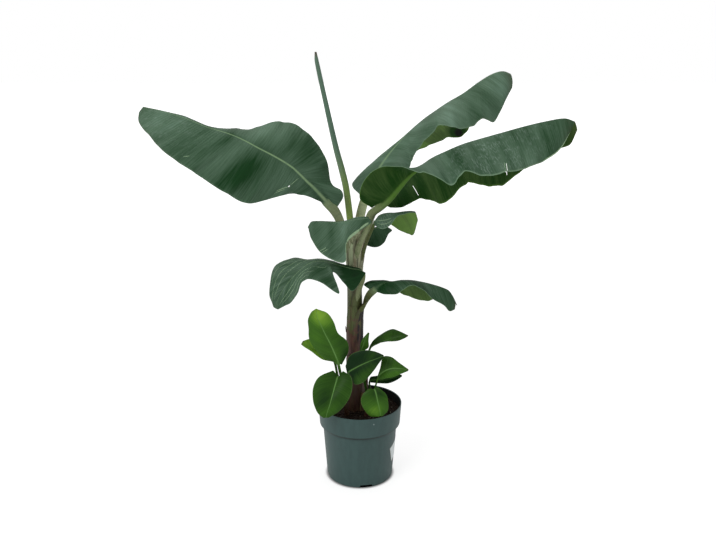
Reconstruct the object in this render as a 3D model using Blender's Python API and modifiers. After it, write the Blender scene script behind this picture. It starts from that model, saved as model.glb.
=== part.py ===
"""Potted banana plant: a young banana plant with its side shoots, in a plain nursery pot.

The origin is on the floor under the middle of the pot, +Z is up and -Y is the front.
Blender's metres are used for every mesh. The tables below are in millimetres.
"""

import math
import random

import bpy
import numpy as np

MM = 0.001
GAP = 0.3

# Pot, a turned shape
POT_STEPS = 32
RIM_RADIUS = 120.0
POT_HEIGHT = 225.0
COLLAR_LOW_RADIUS = 116.0
COLLAR_LOW = 165.0
BODY_TOP_RADIUS = 107.0
BASE_RADIUS = 95.0
FOOT_INNER_RADIUS = 84.0
FLOOR_UNDER = 8.0
WALL = 2.4
NOTCHES = 4
NOTCH_WIDTH = 36.0
NOTCH_HEIGHT = 7.0
NOTCH_DEPTH = 22.0
NOTCH_MIDDLE = BASE_RADIUS - 4.0
FIRST_NOTCH = math.radians(-79.0)
DRAIN_HOLES = 6
DRAIN_SIDES = 12
DRAIN_RADIUS = 6.0
DRAIN_CIRCLE = 62.0

# The pot's body and the inside of its wall, as radius and height, from the foot up
COLLAR_STEP = 1.5
BODY = ((BASE_RADIUS + 0.5, 6.0), (BODY_TOP_RADIUS, COLLAR_LOW - COLLAR_STEP))
INNER_WALL = (
    (BASE_RADIUS - WALL, FLOOR_UNDER + WALL),
    (BODY_TOP_RADIUS - WALL, COLLAR_LOW - 0.5),
    (COLLAR_LOW_RADIUS - WALL, COLLAR_LOW + COLLAR_STEP),
    (RIM_RADIUS - WALL - 0.3, POT_HEIGHT - COLLAR_STEP),
    (RIM_RADIUS - WALL + 0.4, POT_HEIGHT),
)

# Soil, a plug with an uneven top and plain holes for the stems
SOIL_EDGE = 199.0
SOIL_MIDDLE = 204.0
SOIL_LUMP = 2.5
SOIL_RINGS = (98.0, 78.0, 56.0, 36.0, 16.0)
SOIL_SEED = 7

# Label, a bare sticker bent round the body of the pot
LABEL_CORNER_TURN = math.radians(-33.5)
LABEL_CORNER_HEIGHT = 104.0
LABEL_WIDTH = 60.0
LABEL_DROP = 52.0
LABEL_TILT = math.radians(18.0)
LABEL_THICKNESS = 0.6
LABEL_LIFT = 0.4

# Main stem: centre and radius from its foot in the soil to its top
STEM_SIDES = 18
STEM = (
    (-6, 0, 130, 19.0),
    (-7, 0, 170, 25.0),
    (-8, 0, 200, 26.5),
    (-9, 0, 235, 24.5),
    (-10, 0, 275, 23.5),
    (-12, 0, 330, 24.0),
    (-14, 0, 400, 24.5),
    (-15, 0, 440, 24.0),
    (-14, 0, 480, 22.5),
    (-15, 0, 545, 20.5),
    (-15, 0, 600, 21.5),
    (-15, 0, 660, 22.5),
    (-15, 0, 700, 22.5),
    (-16, 0, 728, 20.0),
)
STEM_RING_STEP = 30.0
SHEATH_FLAP_LOW = 630.0
SHEATH_FLAP_TOP = 697.0
SHEATH_FLAP_THICKNESS = 2.6
SHEATH_FLAP_TURN = math.radians(215.0)
SHEATH_FLAP_REACH = math.radians(62.0)

# Side shoots: the same rows for their short stems
SHOOT_SIDES = 8
SHOOT_RING_STEP = 14.0
SHOOTS = {
    "sucker_left": ((-34, -44, 172, 6.0), (-36, -45, 205, 7.0), (-43, -52, 250, 6.5), (-47, -56, 288, 5.5)),
    "sucker_right": ((16, -46, 172, 6.0), (19, -48, 205, 7.0), (29, -53, 245, 6.5), (37, -57, 280, 5.5)),
    "sucker_back": ((19, 26, 172, 5.0), (19, 27, 205, 6.5), (19, 30, 260, 5.5), (20, 34, 304, 4.5)),
}

# Leaf thickness, then for each kind of leaf its mesh size and the height of its petiole's edges
BLADE = 1.0
SIZES = {
    "large": dict(petiole_steps=4, blade_steps=18, blade_strips=3, rib_strips=4, wing=3.5),
    "medium": dict(petiole_steps=3, blade_steps=13, blade_strips=3, rib_strips=2, wing=2.5),
    "small": dict(petiole_steps=3, blade_steps=8, blade_strips=2, rib_strips=2, wing=1.4),
}

# Half-width of petiole and midrib, at the petiole's foot, the blade's foot, a quarter along and the tip
RIBS = {"large": (13.0, 10.0, 5.5, 1.5), "medium": (5.5, 5.0, 3.5, 1.5), "small": (3.0, 2.5, 2.0, 1.0)}

# Every leaf: points up its petiole, then rows across its blade from foot to tip.
# A row is the midrib, the left margin and the right margin, seen from above, looking to the tip.
# stalk is how many times as wide as usual a petiole is.
LEAVES = {
    "leaf_top_left": dict(
        size="large",
        on="pseudostem",
        petiole=((-22, -5, 643), (-40, -12, 721), (-66, -30, 788)),
        sections=(
            ((-92, -45, 823), (-102, -50, 819), (-58, -44, 806)),
            ((-114, -60, 852), (-140, -85, 842), (-44, -42, 832)),
            ((-123, -66, 863), (-155, -94, 846), (-49, -40, 848)),
            ((-133, -73, 874), (-169, -101, 850), (-71, -36, 862)),
            ((-152, -84, 896), (-201, -123, 849), (-83, -36, 909)),
            ((-173, -95, 918), (-235, -145, 842), (-108, -35, 966)),
            ((-210, -112, 945), (-279, -177, 840), (-162, -37, 1018)),
            ((-251, -129, 970), (-330, -199, 871), (-215, -49, 1026)),
            ((-287, -141, 992), (-382, -211, 911), (-271, -61, 1014)),
            ((-322, -153, 1009), (-419, -218, 937), (-316, -53, 1004)),
            ((-372, -165, 1026), (-465, -220, 973), (-371, -65, 994)),
            ((-424, -176, 1049), (-498, -216, 1009), (-428, -86, 1025)),
            ((-476, -183, 1065), (-522, -208, 1040), (-479, -128, 1048)),
            ((-516, -185, 1074), (-525, -192, 1061), (-513, -170, 1068)),
        ),
    ),
    "leaf_top_back": dict(
        size="large",
        on="pseudostem",
        petiole=((-13, 9, 655), (-6, 17, 723), (7, 30, 787), (22, 45, 829)),
        sections=(
            ((36, 55, 863), (1, 65, 815), (47, 50, 850)),
            ((58, 70, 902), (-21, 114, 842), (87, 45, 884)),
            ((96, 80, 950), (62, 180, 889), (129, 30, 897)),
            ((137, 90, 990), (155, 224, 912), (144, 20, 930)),
            ((169, 95, 1018), (207, 224, 935), (169, 0, 972)),
            ((202, 100, 1041), (252, 238, 954), (200, -15, 1010)),
            ((243, 105, 1068), (307, 238, 964), (248, -10, 1009)),
            ((281, 110, 1089), (331, 238, 1012), (291, 20, 1006)),
            ((321, 115, 1117), (364, 238, 1063), (328, 40, 1026)),
            ((357, 120, 1138), (397, 238, 1091), (363, 60, 1019)),
            ((389, 135, 1146), (422, 238, 1113), (393, 90, 1070)),
            ((416, 152, 1139), (431, 231, 1114), (417, 125, 1103)),
        ),
    ),
    "leaf_top_right": dict(
        size="large",
        on="pseudostem",
        petiole=((1, 4, 650), (12, -1, 712), (32, -28, 783), (50, -45, 802)),
        sections=(
            ((66, -55, 817), (79, -50, 804), (31, -60, 805)),
            ((81, -64, 835), (101, -39, 802), (-1, -99, 839)),
            ((98, -73, 858), (127, -28, 808), (16, -124, 897)),
            ((115, -87, 882), (154, -27, 822), (59, -149, 927)),
            ((129, -97, 899), (178, -27, 821), (102, -183, 932)),
            ((151, -111, 920), (203, -36, 816), (144, -212, 922)),
            ((179, -125, 944), (233, -55, 824), (180, -225, 915)),
            ((213, -139, 964), (266, -74, 866), (222, -224, 894)),
            ((250, -148, 981), (283, -93, 878), (245, -240, 927)),
            ((292, -157, 996), (330, -92, 867), (294, -231, 918)),
            ((344, -166, 1012), (369, -101, 878), (351, -230, 925)),
            ((396, -176, 1028), (418, -121, 920), (393, -229, 935)),
            ((445, -180, 1040), (467, -140, 965), (440, -220, 952)),
            ((488, -184, 1047), (513, -150, 980), (478, -209, 980)),
            ((511, -188, 1040), (525, -165, 1018), (502, -196, 1020)),
        ),
    ),
    "leaf_mid_left": dict(
        size="medium",
        on="pseudostem",
        petiole=((-12, -20, 640), (-1, -38, 700), (19, -56, 754)),
        sections=(
            ((25, -68, 779), (31, -76, 769), (21, -58, 779)),
            ((-8, -75, 779), (-8, -95, 746), (-13, -40, 773)),
            ((-29, -80, 775), (-34, -110, 723), (-35, -46, 764)),
            ((-52, -85, 772), (-39, -120, 675), (-61, -50, 760)),
            ((-78, -90, 774), (-75, -130, 685), (-88, -55, 762)),
            ((-103, -95, 775), (-105, -130, 707), (-113, -60, 765)),
            ((-124, -98, 776), (-125, -120, 736), (-128, -80, 769)),
            ((-134, -100, 764), (-132, -105, 754), (-135, -95, 759)),
        ),
    ),
    "leaf_mid_right": dict(
        size="medium",
        on="pseudostem",
        petiole=((1, -12, 630), (16, -29, 700), (35, -39, 751)),
        stalk=0.75,
        sections=(
            ((45, -46, 777), (48, -30, 767), (37, -50, 757)),
            ((58, -50, 786), (65, -10, 762), (58, -75, 752)),
            ((76, -55, 791), (89, -10, 746), (78, -80, 763)),
            ((94, -60, 793), (113, -20, 735), (93, -85, 785)),
            ((115, -63, 796), (131, -30, 728), (111, -85, 796)),
            ((133, -65, 798), (144, -40, 731), (133, -80, 797)),
            ((145, -66, 797), (153, -55, 772), (146, -70, 794)),
        ),
    ),
    "leaf_mid_back": dict(
        size="medium",
        on="pseudostem",
        petiole=((-3, 14, 600), (3, 31, 658), (17, 36, 704)),
        sections=(
            ((28, 40, 722), (31, 60, 721), (9, 33, 686)),
            ((45, 47, 727), (48, 80, 720), (30, 20, 680)),
            ((61, 53, 729), (65, 90, 720), (50, 20, 680)),
            ((78, 58, 725), (82, 80, 717), (68, 30, 691)),
            ((90, 62, 717), (90, 70, 716), (75, 50, 707)),
        ),
    ),
    "leaf_low_left": dict(
        size="medium",
        on="pseudostem",
        petiole=((-8, -20, 524), (-3, -35, 572), (8, -45, 610)),
        sections=(
            ((6, -54, 633), (16, -60, 628), (3, -45, 635)),
            ((-24, -62, 642), (-18, -80, 584), (-27, -20, 633)),
            ((-48, -68, 650), (-42, -90, 609), (-55, -10, 636)),
            ((-71, -73, 659), (-67, -95, 639), (-79, -10, 643)),
            ((-87, -76, 664), (-70, -110, 637), (-95, -15, 648)),
            ((-106, -80, 667), (-55, -120, 588), (-114, -20, 652)),
            ((-124, -85, 666), (-99, -120, 618), (-138, -30, 656)),
            ((-145, -90, 656), (-133, -120, 629), (-169, -40, 665)),
            ((-166, -95, 638), (-151, -120, 618), (-197, -60, 664)),
            ((-184, -98, 619), (-163, -115, 590), (-224, -80, 654)),
            ((-201, -100, 597), (-182, -110, 561), (-235, -90, 628)),
            ((-215, -100, 572), (-199, -105, 550), (-241, -95, 583)),
            ((-228, -98, 542), (-218, -100, 538), (-233, -98, 553)),
        ),
    ),
    "leaf_low_right": dict(
        size="medium",
        on="pseudostem",
        petiole=((-5, -10, 486), (9, -25, 529), (24, -37, 557)),
        stalk=1.7,
        sections=(
            ((44, -47, 582), (26, -44, 577), (46, -52, 572)),
            ((52, -50, 590), (11, -37, 589), (55, -62, 572)),
            ((60, -53, 596), (32, -25, 597), (64, -72, 572)),
            ((68, -55, 601), (66, -10, 589), (72, -80, 574)),
            ((89, -60, 604), (100, 0, 562), (99, -90, 578)),
            ((113, -65, 610), (131, 0, 547), (116, -100, 598)),
            ((139, -70, 611), (155, -10, 539), (139, -110, 608)),
            ((166, -75, 608), (182, -20, 536), (169, -110, 593)),
            ((192, -80, 602), (203, -30, 545), (196, -100, 566)),
            ((219, -83, 594), (223, -50, 560), (224, -95, 548)),
            ((238, -85, 584), (247, -72, 557), (238, -90, 531)),
            ((257, -85, 549), (261, -80, 543), (254, -87, 534)),
        ),
    ),
    "pup_left_top": dict(
        size="small",
        on="sucker_left",
        petiole=((-46, -55, 274), (-50, -56, 305), (-56, -58, 345)),
        sections=(
            ((-61, -60, 372), (-80, -55, 372), (-50, -60, 363)),
            ((-71, -65, 402), (-107, -60, 389), (-32, -60, 403)),
            ((-82, -70, 431), (-137, -65, 435), (-36, -60, 434)),
            ((-95, -73, 459), (-140, -70, 475), (-60, -65, 459)),
            ((-105, -75, 483), (-141, -73, 499), (-71, -68, 492)),
            ((-115, -76, 506), (-133, -75, 520), (-87, -72, 518)),
            ((-118, -76, 532), (-124, -76, 529), (-109, -75, 529)),
        ),
    ),
    "pup_left_side": dict(
        size="small",
        on="sucker_left",
        petiole=((-41, -49, 236), (-52, -42, 275), (-64, -36, 325)),
        sections=(
            ((-75, -34, 371), (-75, -36, 362), (-67, -30, 395)),
            ((-100, -33, 387), (-106, -45, 374), (-89, -20, 415)),
            ((-125, -32, 399), (-133, -45, 395), (-117, -20, 424)),
            ((-148, -32, 408), (-150, -40, 405), (-142, -22, 425)),
            ((-163, -32, 415), (-163, -34, 412), (-159, -30, 422)),
        ),
    ),
    "pup_left_front": dict(
        size="small",
        on="sucker_left",
        petiole=((-45, -54, 250), (-51, -67, 285), (-55, -75, 320)),
        sections=(
            ((-60, -80, 338), (-46, -75, 351), (-74, -80, 355)),
            ((-67, -95, 321), (-24, -90, 340), (-112, -95, 342)),
            ((-72, -107, 306), (-21, -105, 314), (-128, -105, 314)),
            ((-77, -118, 290), (-30, -115, 286), (-128, -115, 280)),
            ((-83, -126, 270), (-51, -125, 260), (-120, -124, 258)),
            ((-89, -132, 254), (-69, -130, 247), (-111, -130, 246)),
            ((-92, -136, 240), (-85, -136, 240), (-99, -136, 239)),
        ),
    ),
    "pup_middle": dict(
        size="small",
        on="sucker_left",
        petiole=((-40, -52, 262), (-33, -61, 290), (-30, -70, 325)),
        sections=(
            ((-31, -78, 348), (-40, -76, 366), (-24, -80, 338)),
            ((-13, -85, 364), (-27, -78, 398), (-16, -90, 319)),
            ((9, -90, 378), (6, -83, 415), (9, -100, 329)),
            ((28, -95, 389), (33, -90, 417), (36, -100, 360)),
            ((46, -100, 398), (52, -96, 413), (52, -103, 386)),
            ((64, -104, 408), (64, -104, 410), (65, -104, 404)),
        ),
    ),
    "pup_right_top": dict(
        size="small",
        on="sucker_right",
        petiole=((36, -57, 270), (41, -60, 292), (47, -66, 318)),
        sections=(
            ((54, -70, 337), (56, -66, 356), (53, -74, 324)),
            ((72, -77, 354), (64, -66, 389), (72, -85, 333)),
            ((91, -82, 362), (86, -70, 391), (94, -90, 340)),
            ((110, -86, 363), (107, -78, 378), (113, -92, 350)),
            ((133, -90, 361), (132, -89, 363), (132, -91, 358)),
        ),
    ),
    "pup_right_under": dict(
        size="small",
        on="sucker_right",
        petiole=((33, -54, 256), (32, -48, 274), (27, -47, 294)),
        sections=(
            ((29, -48, 311), (30, -44, 321), (30, -53, 307)),
            ((73, -55, 316), (73, -45, 329), (76, -62, 308)),
            ((95, -58, 323), (95, -50, 335), (98, -63, 316)),
            ((117, -60, 331), (117, -60, 333), (117, -60, 328)),
        ),
    ),
    "pup_front": dict(
        size="small",
        on="sucker_right",
        petiole=((31, -54, 248), (33, -69, 275), (35, -78, 297)),
        sections=(
            ((40, -83, 301), (50, -83, 307), (25, -83, 302)),
            ((45, -90, 288), (72, -90, 289), (9, -90, 289)),
            ((49, -95, 270), (78, -96, 268), (3, -95, 270)),
            ((53, -99, 254), (78, -99, 245), (11, -99, 248)),
            ((56, -101, 240), (67, -101, 231), (28, -101, 228)),
            ((57, -103, 229), (59, -103, 227), (50, -103, 226)),
        ),
    ),
    "pup_new": dict(
        size="small",
        on="sucker_right",
        petiole=((27, -52, 236), (20, -45, 270), (8, -44, 330), (4, -48, 372)),
        sections=(
            ((3, -52, 398), (0, -52, 404), (9, -52, 400)),
            ((9, -54, 420), (2, -54, 425), (24, -53, 413)),
            ((15, -55, 438), (9, -55, 440), (24, -55, 433)),
            ((24, -56, 456), (22, -56, 457), (26, -56, 455)),
        ),
    ),
    "pup_right_back": dict(
        size="small",
        on="sucker_back",
        petiole=((18, 30, 228), (19, 35, 289), (24, 40, 343)),
        sections=(
            ((31, 42, 375), (29, 45, 380), (32, 38, 375)),
            ((52, 40, 389), (41, 50, 396), (49, 30, 391)),
            ((75, 37, 400), (67, 60, 413), (75, 20, 402)),
            ((101, 33, 409), (93, 60, 425), (103, 20, 403)),
            ((121, 30, 415), (115, 45, 423), (123, 20, 409)),
            ((138, 28, 417), (136, 30, 418), (137, 26, 415)),
        ),
    ),
}

# The rolled new leaf: centre points, half-width at its foot, upper middle and tip
SPEAR_ROUTE = ((-16, 0, 670), (-21, 0, 704), (-26, -2, 755), (-37, -6, 848), (-48, -9, 898),
               (-63, -12, 956), (-90, -15, 1079), (-110, -15, 1174), (-113, -15, 1199))
SPEAR_RADII = (10.0, 10.0, 9.8, 9.2, 8.8, 7.9, 6.6, 5.6, 2.6)
SPEAR_SIDES = 10
SPEAR_STEPS = 13

# Name, base colour, roughness
COLOURS = {
    "pot": ((0.055, 0.095, 0.088), 0.5),
    "soil": ((0.018, 0.010, 0.008), 0.95),
    "stem": ((0.16, 0.17, 0.07), 0.6),
    "shoot": ((0.14, 0.09, 0.05), 0.6),
    "leaf": ((0.045, 0.105, 0.062), 0.45),
    "young": ((0.06, 0.17, 0.02), 0.45),
    "spear": ((0.13, 0.21, 0.08), 0.5),
    "label": ((0.75, 0.76, 0.75), 0.6),
}


def clear_scene():
    for obj in list(bpy.data.objects):
        bpy.data.objects.remove(obj, do_unlink=True)


def new_collection(name, hidden=False):
    collection = bpy.data.collections.new(name)
    bpy.context.scene.collection.children.link(collection)
    collection.hide_render = hidden
    return collection


def make_material(name):
    colour, roughness = COLOURS[name]
    material = bpy.data.materials.new("plant_" + name)
    material.use_nodes = True
    shader = material.node_tree.nodes["Principled BSDF"]
    shader.inputs["Base Color"].default_value = (*colour, 1.0)
    shader.inputs["Roughness"].default_value = roughness
    shader.inputs["Metallic"].default_value = 0.0
    material.diffuse_color = (*colour, 1.0)
    return material


def add_mesh(name, points, faces, material, collection, crease=40.0):
    """A mesh object from points in millimetres."""
    mesh = bpy.data.meshes.new(name)
    mesh.from_pydata([tuple(point) for point in np.asarray(points) * MM], [], faces)
    mesh.update()
    obj = bpy.data.objects.new(name, mesh)
    collection.objects.link(obj)
    if material:
        mesh.materials.append(material)
    if faces:
        mesh.shade_smooth()
        mesh.set_sharp_from_angle(angle=math.radians(crease))
    return obj


def add_cut(obj, cutter):
    """Cut the cutter's shape out of the object."""
    cut = obj.modifiers.new("cut_" + cutter.name, "BOOLEAN")
    cut.operation = "DIFFERENCE"
    cut.solver = "EXACT"
    cut.object = cutter


def as_cutter(obj):
    obj.hide_render = True
    obj.display_type = "WIRE"
    return obj


def smooth_curve(knots, values, at):
    """A smooth curve that passes through the values at their knots, read at each number in at."""
    knots = np.asarray(knots, float)
    values = np.asarray(values, float)
    slopes = np.empty_like(values)
    spans = (knots[2:] - knots[:-2]).reshape((-1,) + (1,) * (values.ndim - 1))
    slopes[1:-1] = (values[2:] - values[:-2]) / spans
    slopes[0] = (values[1] - values[0]) / (knots[1] - knots[0])
    slopes[-1] = (values[-1] - values[-2]) / (knots[-1] - knots[-2])
    at = np.clip(at, knots[0], knots[-1])
    i = np.clip(np.searchsorted(knots, at, side="right") - 1, 0, len(knots) - 2)
    step = knots[i + 1] - knots[i]
    u = (at - knots[i]) / step
    if values.ndim > 1:
        u, step = u[:, None], step[:, None]
    return (
        (1 + 2 * u) * (1 - u) ** 2 * values[i]
        + u * (1 - u) ** 2 * step * slopes[i]
        + u * u * (3 - 2 * u) * values[i + 1]
        + u * u * (u - 1) * step * slopes[i + 1]
    )


def length_knots(route):
    """How far along a route each of its points is, from 0 to 1."""
    route = np.asarray(route, float)
    travelled = np.cumsum(np.linalg.norm(np.diff(route, axis=0), axis=1))
    return np.concatenate([[0.0], travelled]) / travelled[-1]


def unit(vectors):
    lengths = np.linalg.norm(vectors, axis=-1, keepdims=True)
    return vectors / np.maximum(lengths, 1e-9)


def ring_loft(name, rings, material, collection, crease=40.0):
    """A closed solid through rings of points, counter-clockwise from above, listed upwards."""
    rings = np.asarray(rings, float)
    count, sides, _ = rings.shape
    points = list(rings.reshape(-1, 3)) + [rings[0].mean(axis=0), rings[-1].mean(axis=0)]
    low_centre, top_centre = count * sides, count * sides + 1
    faces = []
    for k in range(sides):
        after = (k + 1) % sides
        for row in range(count - 1):
            a, b = row * sides + k, row * sides + after
            faces += [(a, b, b + sides), (a, b + sides, a + sides)]
        last = (count - 1) * sides
        faces += [(low_centre, after, k), (top_centre, last + k, last + after)]
    return add_mesh(name, points, faces, material, collection, crease)


def circle(centre, radii, turns, across=(1, 0, 0), along=(0, 1, 0)):
    """Points round a centre; radii may differ from turn to turn."""
    flat = np.outer(np.cos(turns) * radii, across) + np.outer(np.sin(turns) * radii, along)
    return np.asarray(centre) + flat


def make_pot(collection, cutters, material):
    """The pot's wall, collar, floor and foot as one turned profile."""
    profile = (
        (RIM_RADIUS - 1.0, POT_HEIGHT),
        (RIM_RADIUS, POT_HEIGHT - COLLAR_STEP),
        (RIM_RADIUS - 0.5, POT_HEIGHT - 8.0),
        (COLLAR_LOW_RADIUS, COLLAR_LOW),
        (COLLAR_LOW_RADIUS - COLLAR_STEP, COLLAR_LOW - COLLAR_STEP),
        *BODY[::-1],
        (BASE_RADIUS - 1.0, 1.5),
        (BASE_RADIUS - 3.0, 0.0),
        (FOOT_INNER_RADIUS, 0.0),
        (FOOT_INNER_RADIUS - 1.0, FLOOR_UNDER),
        (0.0, FLOOR_UNDER),
    )
    inside = (
        (0.0, FLOOR_UNDER + WALL),
        *INNER_WALL,
    )
    points = [(r, 0.0, z) for r, z in profile + inside]
    edges = [(i, (i + 1) % len(points)) for i in range(len(points))]
    edges.remove((len(profile) - 1, len(profile)))
    mesh = bpy.data.meshes.new("pot")
    mesh.from_pydata([tuple(c * MM for c in point) for point in points], edges, [])
    pot = bpy.data.objects.new("pot", mesh)
    collection.objects.link(pot)
    mesh.materials.append(material)
    screw = pot.modifiers.new("turn", "SCREW")
    screw.axis = "Z"
    screw.steps = POT_STEPS
    screw.render_steps = POT_STEPS
    screw.use_merge_vertices = True
    screw.merge_threshold = 0.0001
    screw.use_smooth_shade = False
    for k in range(NOTCHES):
        turn = FIRST_NOTCH + k * math.tau / NOTCHES
        bpy.ops.mesh.primitive_cube_add(
            size=1.0,
            location=(NOTCH_MIDDLE * math.cos(turn) * MM, NOTCH_MIDDLE * math.sin(turn) * MM, 0.0),
            rotation=(0.0, 0.0, turn),
            scale=(NOTCH_DEPTH * MM, NOTCH_WIDTH * MM, 2 * NOTCH_HEIGHT * MM),
        )
        add_cut(pot, as_cutter(take_active("notch_%d" % k, cutters)))
    for k in range(DRAIN_HOLES):
        turn = FIRST_NOTCH + (k + 0.5) * math.tau / DRAIN_HOLES
        bpy.ops.mesh.primitive_cylinder_add(
            vertices=DRAIN_SIDES,
            radius=DRAIN_RADIUS * MM,
            depth=4 * WALL * MM,
            location=(
                DRAIN_CIRCLE * math.cos(turn) * MM,
                DRAIN_CIRCLE * math.sin(turn) * MM,
                (FLOOR_UNDER + WALL / 2) * MM,
            ),
        )
        add_cut(pot, as_cutter(take_active("drain_%d" % k, cutters)))
    return pot


def take_active(name, collection):
    """Name the object just added and move it to a collection."""
    obj = bpy.context.active_object
    for other in obj.users_collection:
        other.objects.unlink(obj)
    collection.objects.link(obj)
    obj.name = name
    return obj


def radius_at(profile, height):
    """Radius of a turned profile at a height."""
    radii, heights = zip(*profile)
    return float(np.interp(height, heights, radii))


def make_soil(collection, material):
    """A plug that fills the pot, with an uneven top."""
    draw = random.Random(SOIL_SEED)
    turns = np.arange(POT_STEPS) * math.tau / POT_STEPS
    clear = 2 * GAP
    floor = FLOOR_UNDER + WALL
    below, above = INNER_WALL[1][1], INNER_WALL[2][1]
    sides = (
        (floor + GAP, radius_at(INNER_WALL, floor) - clear),
        (below, radius_at(INNER_WALL, below) - clear - 0.2),
        (above + clear, radius_at(INNER_WALL, above) - clear),
        (SOIL_EDGE, radius_at(INNER_WALL, SOIL_EDGE) - clear),
    )
    rings = [circle((0, 0, height), radius, turns) for height, radius in sides]
    for radius in SOIL_RINGS:
        rise = (SOIL_MIDDLE - SOIL_EDGE) * (1 - (radius / RIM_RADIUS) ** 2)
        ring = circle((0, 0, SOIL_EDGE + rise), radius, turns)
        ring[:, 2] += [draw.uniform(-SOIL_LUMP, SOIL_LUMP) for _ in turns]
        rings.append(ring)
    return ring_loft("soil", rings, material, collection)


def stem_rings(rows, step, sides, spare=0.0, relief=None):
    """Rings up a stem given as rows of x, y, z and radius."""
    rows = np.asarray(rows, float)
    heights = np.linspace(rows[0, 2], rows[-1, 2], 1 + round((rows[-1, 2] - rows[0, 2]) / step))
    if relief:
        heights = np.sort(np.concatenate([heights, relief["heights"]]))
    centres = smooth_curve(rows[:, 2], rows, heights)
    turns = np.arange(sides) * math.tau / sides
    rings = []
    for centre in centres:
        radii = np.full(sides, centre[3] + spare)
        if relief:
            radii += relief["lift"](turns, centre[2])
        rings.append(circle(centre[:3], radii, turns))
    rings[0][:, 2] -= spare
    rings[-1][:, 2] += spare
    return rings


def sheath_flap(turns, height):
    """How far the cut leaf sheath stands out from the stem."""
    if not SHEATH_FLAP_LOW < height <= SHEATH_FLAP_TOP:
        return 0.0
    rise = (height - SHEATH_FLAP_LOW) / (SHEATH_FLAP_TOP - SHEATH_FLAP_LOW)
    away = np.abs((turns - SHEATH_FLAP_TURN + math.pi) % math.tau - math.pi)
    return np.where(away < SHEATH_FLAP_REACH, SHEATH_FLAP_THICKNESS * rise, 0.0)


def make_stem(name, collection, material, spare=0.0):
    relief = {"heights": (SHEATH_FLAP_LOW, SHEATH_FLAP_TOP, SHEATH_FLAP_TOP + 1.0), "lift": sheath_flap}
    rings = stem_rings(STEM, STEM_RING_STEP, STEM_SIDES, spare, relief)
    return ring_loft(name, rings, material, collection)


def make_shoot(name, collection, material, label=None, spare=0.0):
    rings = stem_rings(SHOOTS[name], SHOOT_RING_STEP, SHOOT_SIDES, spare)
    return ring_loft(label or name, rings, material, collection)


def make_spear(collection, material):
    """The rolled new leaf: a tapering rod that leans."""
    knots = length_knots(SPEAR_ROUTE)
    at = np.linspace(0, 1, SPEAR_STEPS)
    centres = smooth_curve(knots, SPEAR_ROUTE, at)
    radii = smooth_curve(knots, SPEAR_RADII, at)
    turns = np.arange(SPEAR_SIDES) * math.tau / SPEAR_SIDES
    rings = [circle(centre, radius, turns) for centre, radius in zip(centres, radii)]
    return ring_loft("leaf_spear", rings, material, collection)


def leaf_frame(leaf, size):
    """Stations along a leaf: midrib points, side and upward directions, margins and rib half-width."""
    petiole = np.array(leaf["petiole"], float)
    rows = np.array(leaf["sections"], float)
    midrib = np.vstack([petiole, rows[:, 0]])
    knots = length_knots(midrib)
    blade_knots = knots[len(petiole):]
    foot = blade_knots[0]
    even = np.linspace(0, 1, size["blade_steps"])
    eased = 0.6 * even + 0.2 * (1 - np.cos(math.pi * even))
    lower = np.linspace(0, foot, size["petiole_steps"], endpoint=False)
    at = np.concatenate([lower, foot + (1 - foot) * eased])
    in_blade = at >= foot - 1e-9
    middle = smooth_curve(knots, midrib, at)
    near = 0.002
    ahead = smooth_curve(knots, midrib, np.clip(at + near, 0, 1))
    behind = smooth_curve(knots, midrib, np.clip(at - near, 0, 1))
    forward = unit(ahead - behind)
    left = smooth_curve(blade_knots, rows[:, 1], np.maximum(at, foot))
    right = smooth_curve(blade_knots, rows[:, 2], np.maximum(at, foot))
    shortest = 4.0
    spread = [
        (edge - middle) / np.maximum(np.linalg.norm(edge - middle, axis=1), shortest)[:, None]
        for edge in (left, right)
    ]
    across = unit(spread[1] - spread[0])
    up_share = np.clip(at / foot, 0, 1)[:, None]
    petiole_side = unit(np.cross(forward[0], (0, 0, 1)))
    first = across[np.argmax(in_blade)]
    side = np.where(in_blade[:, None], across, petiole_side * (1 - up_share) + first * up_share)
    for _ in range(2):
        side[1:-1] = unit(0.25 * side[:-2] + 0.5 * side[1:-1] + 0.25 * side[2:])
    side = unit(side - (side * forward).sum(axis=1, keepdims=True) * forward)
    rib_knots = (0, foot, foot + 0.25 * (1 - foot), 1)
    rib = smooth_curve(rib_knots, RIBS[leaf["size"]], at)
    rib = rib * (1 + (leaf.get("stalk", 1.0) - 1) * np.clip(1 - (at - foot) / 0.1, 0, 1))
    return middle, forward, side, np.cross(side, forward), (left, right), rib, in_blade


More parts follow.
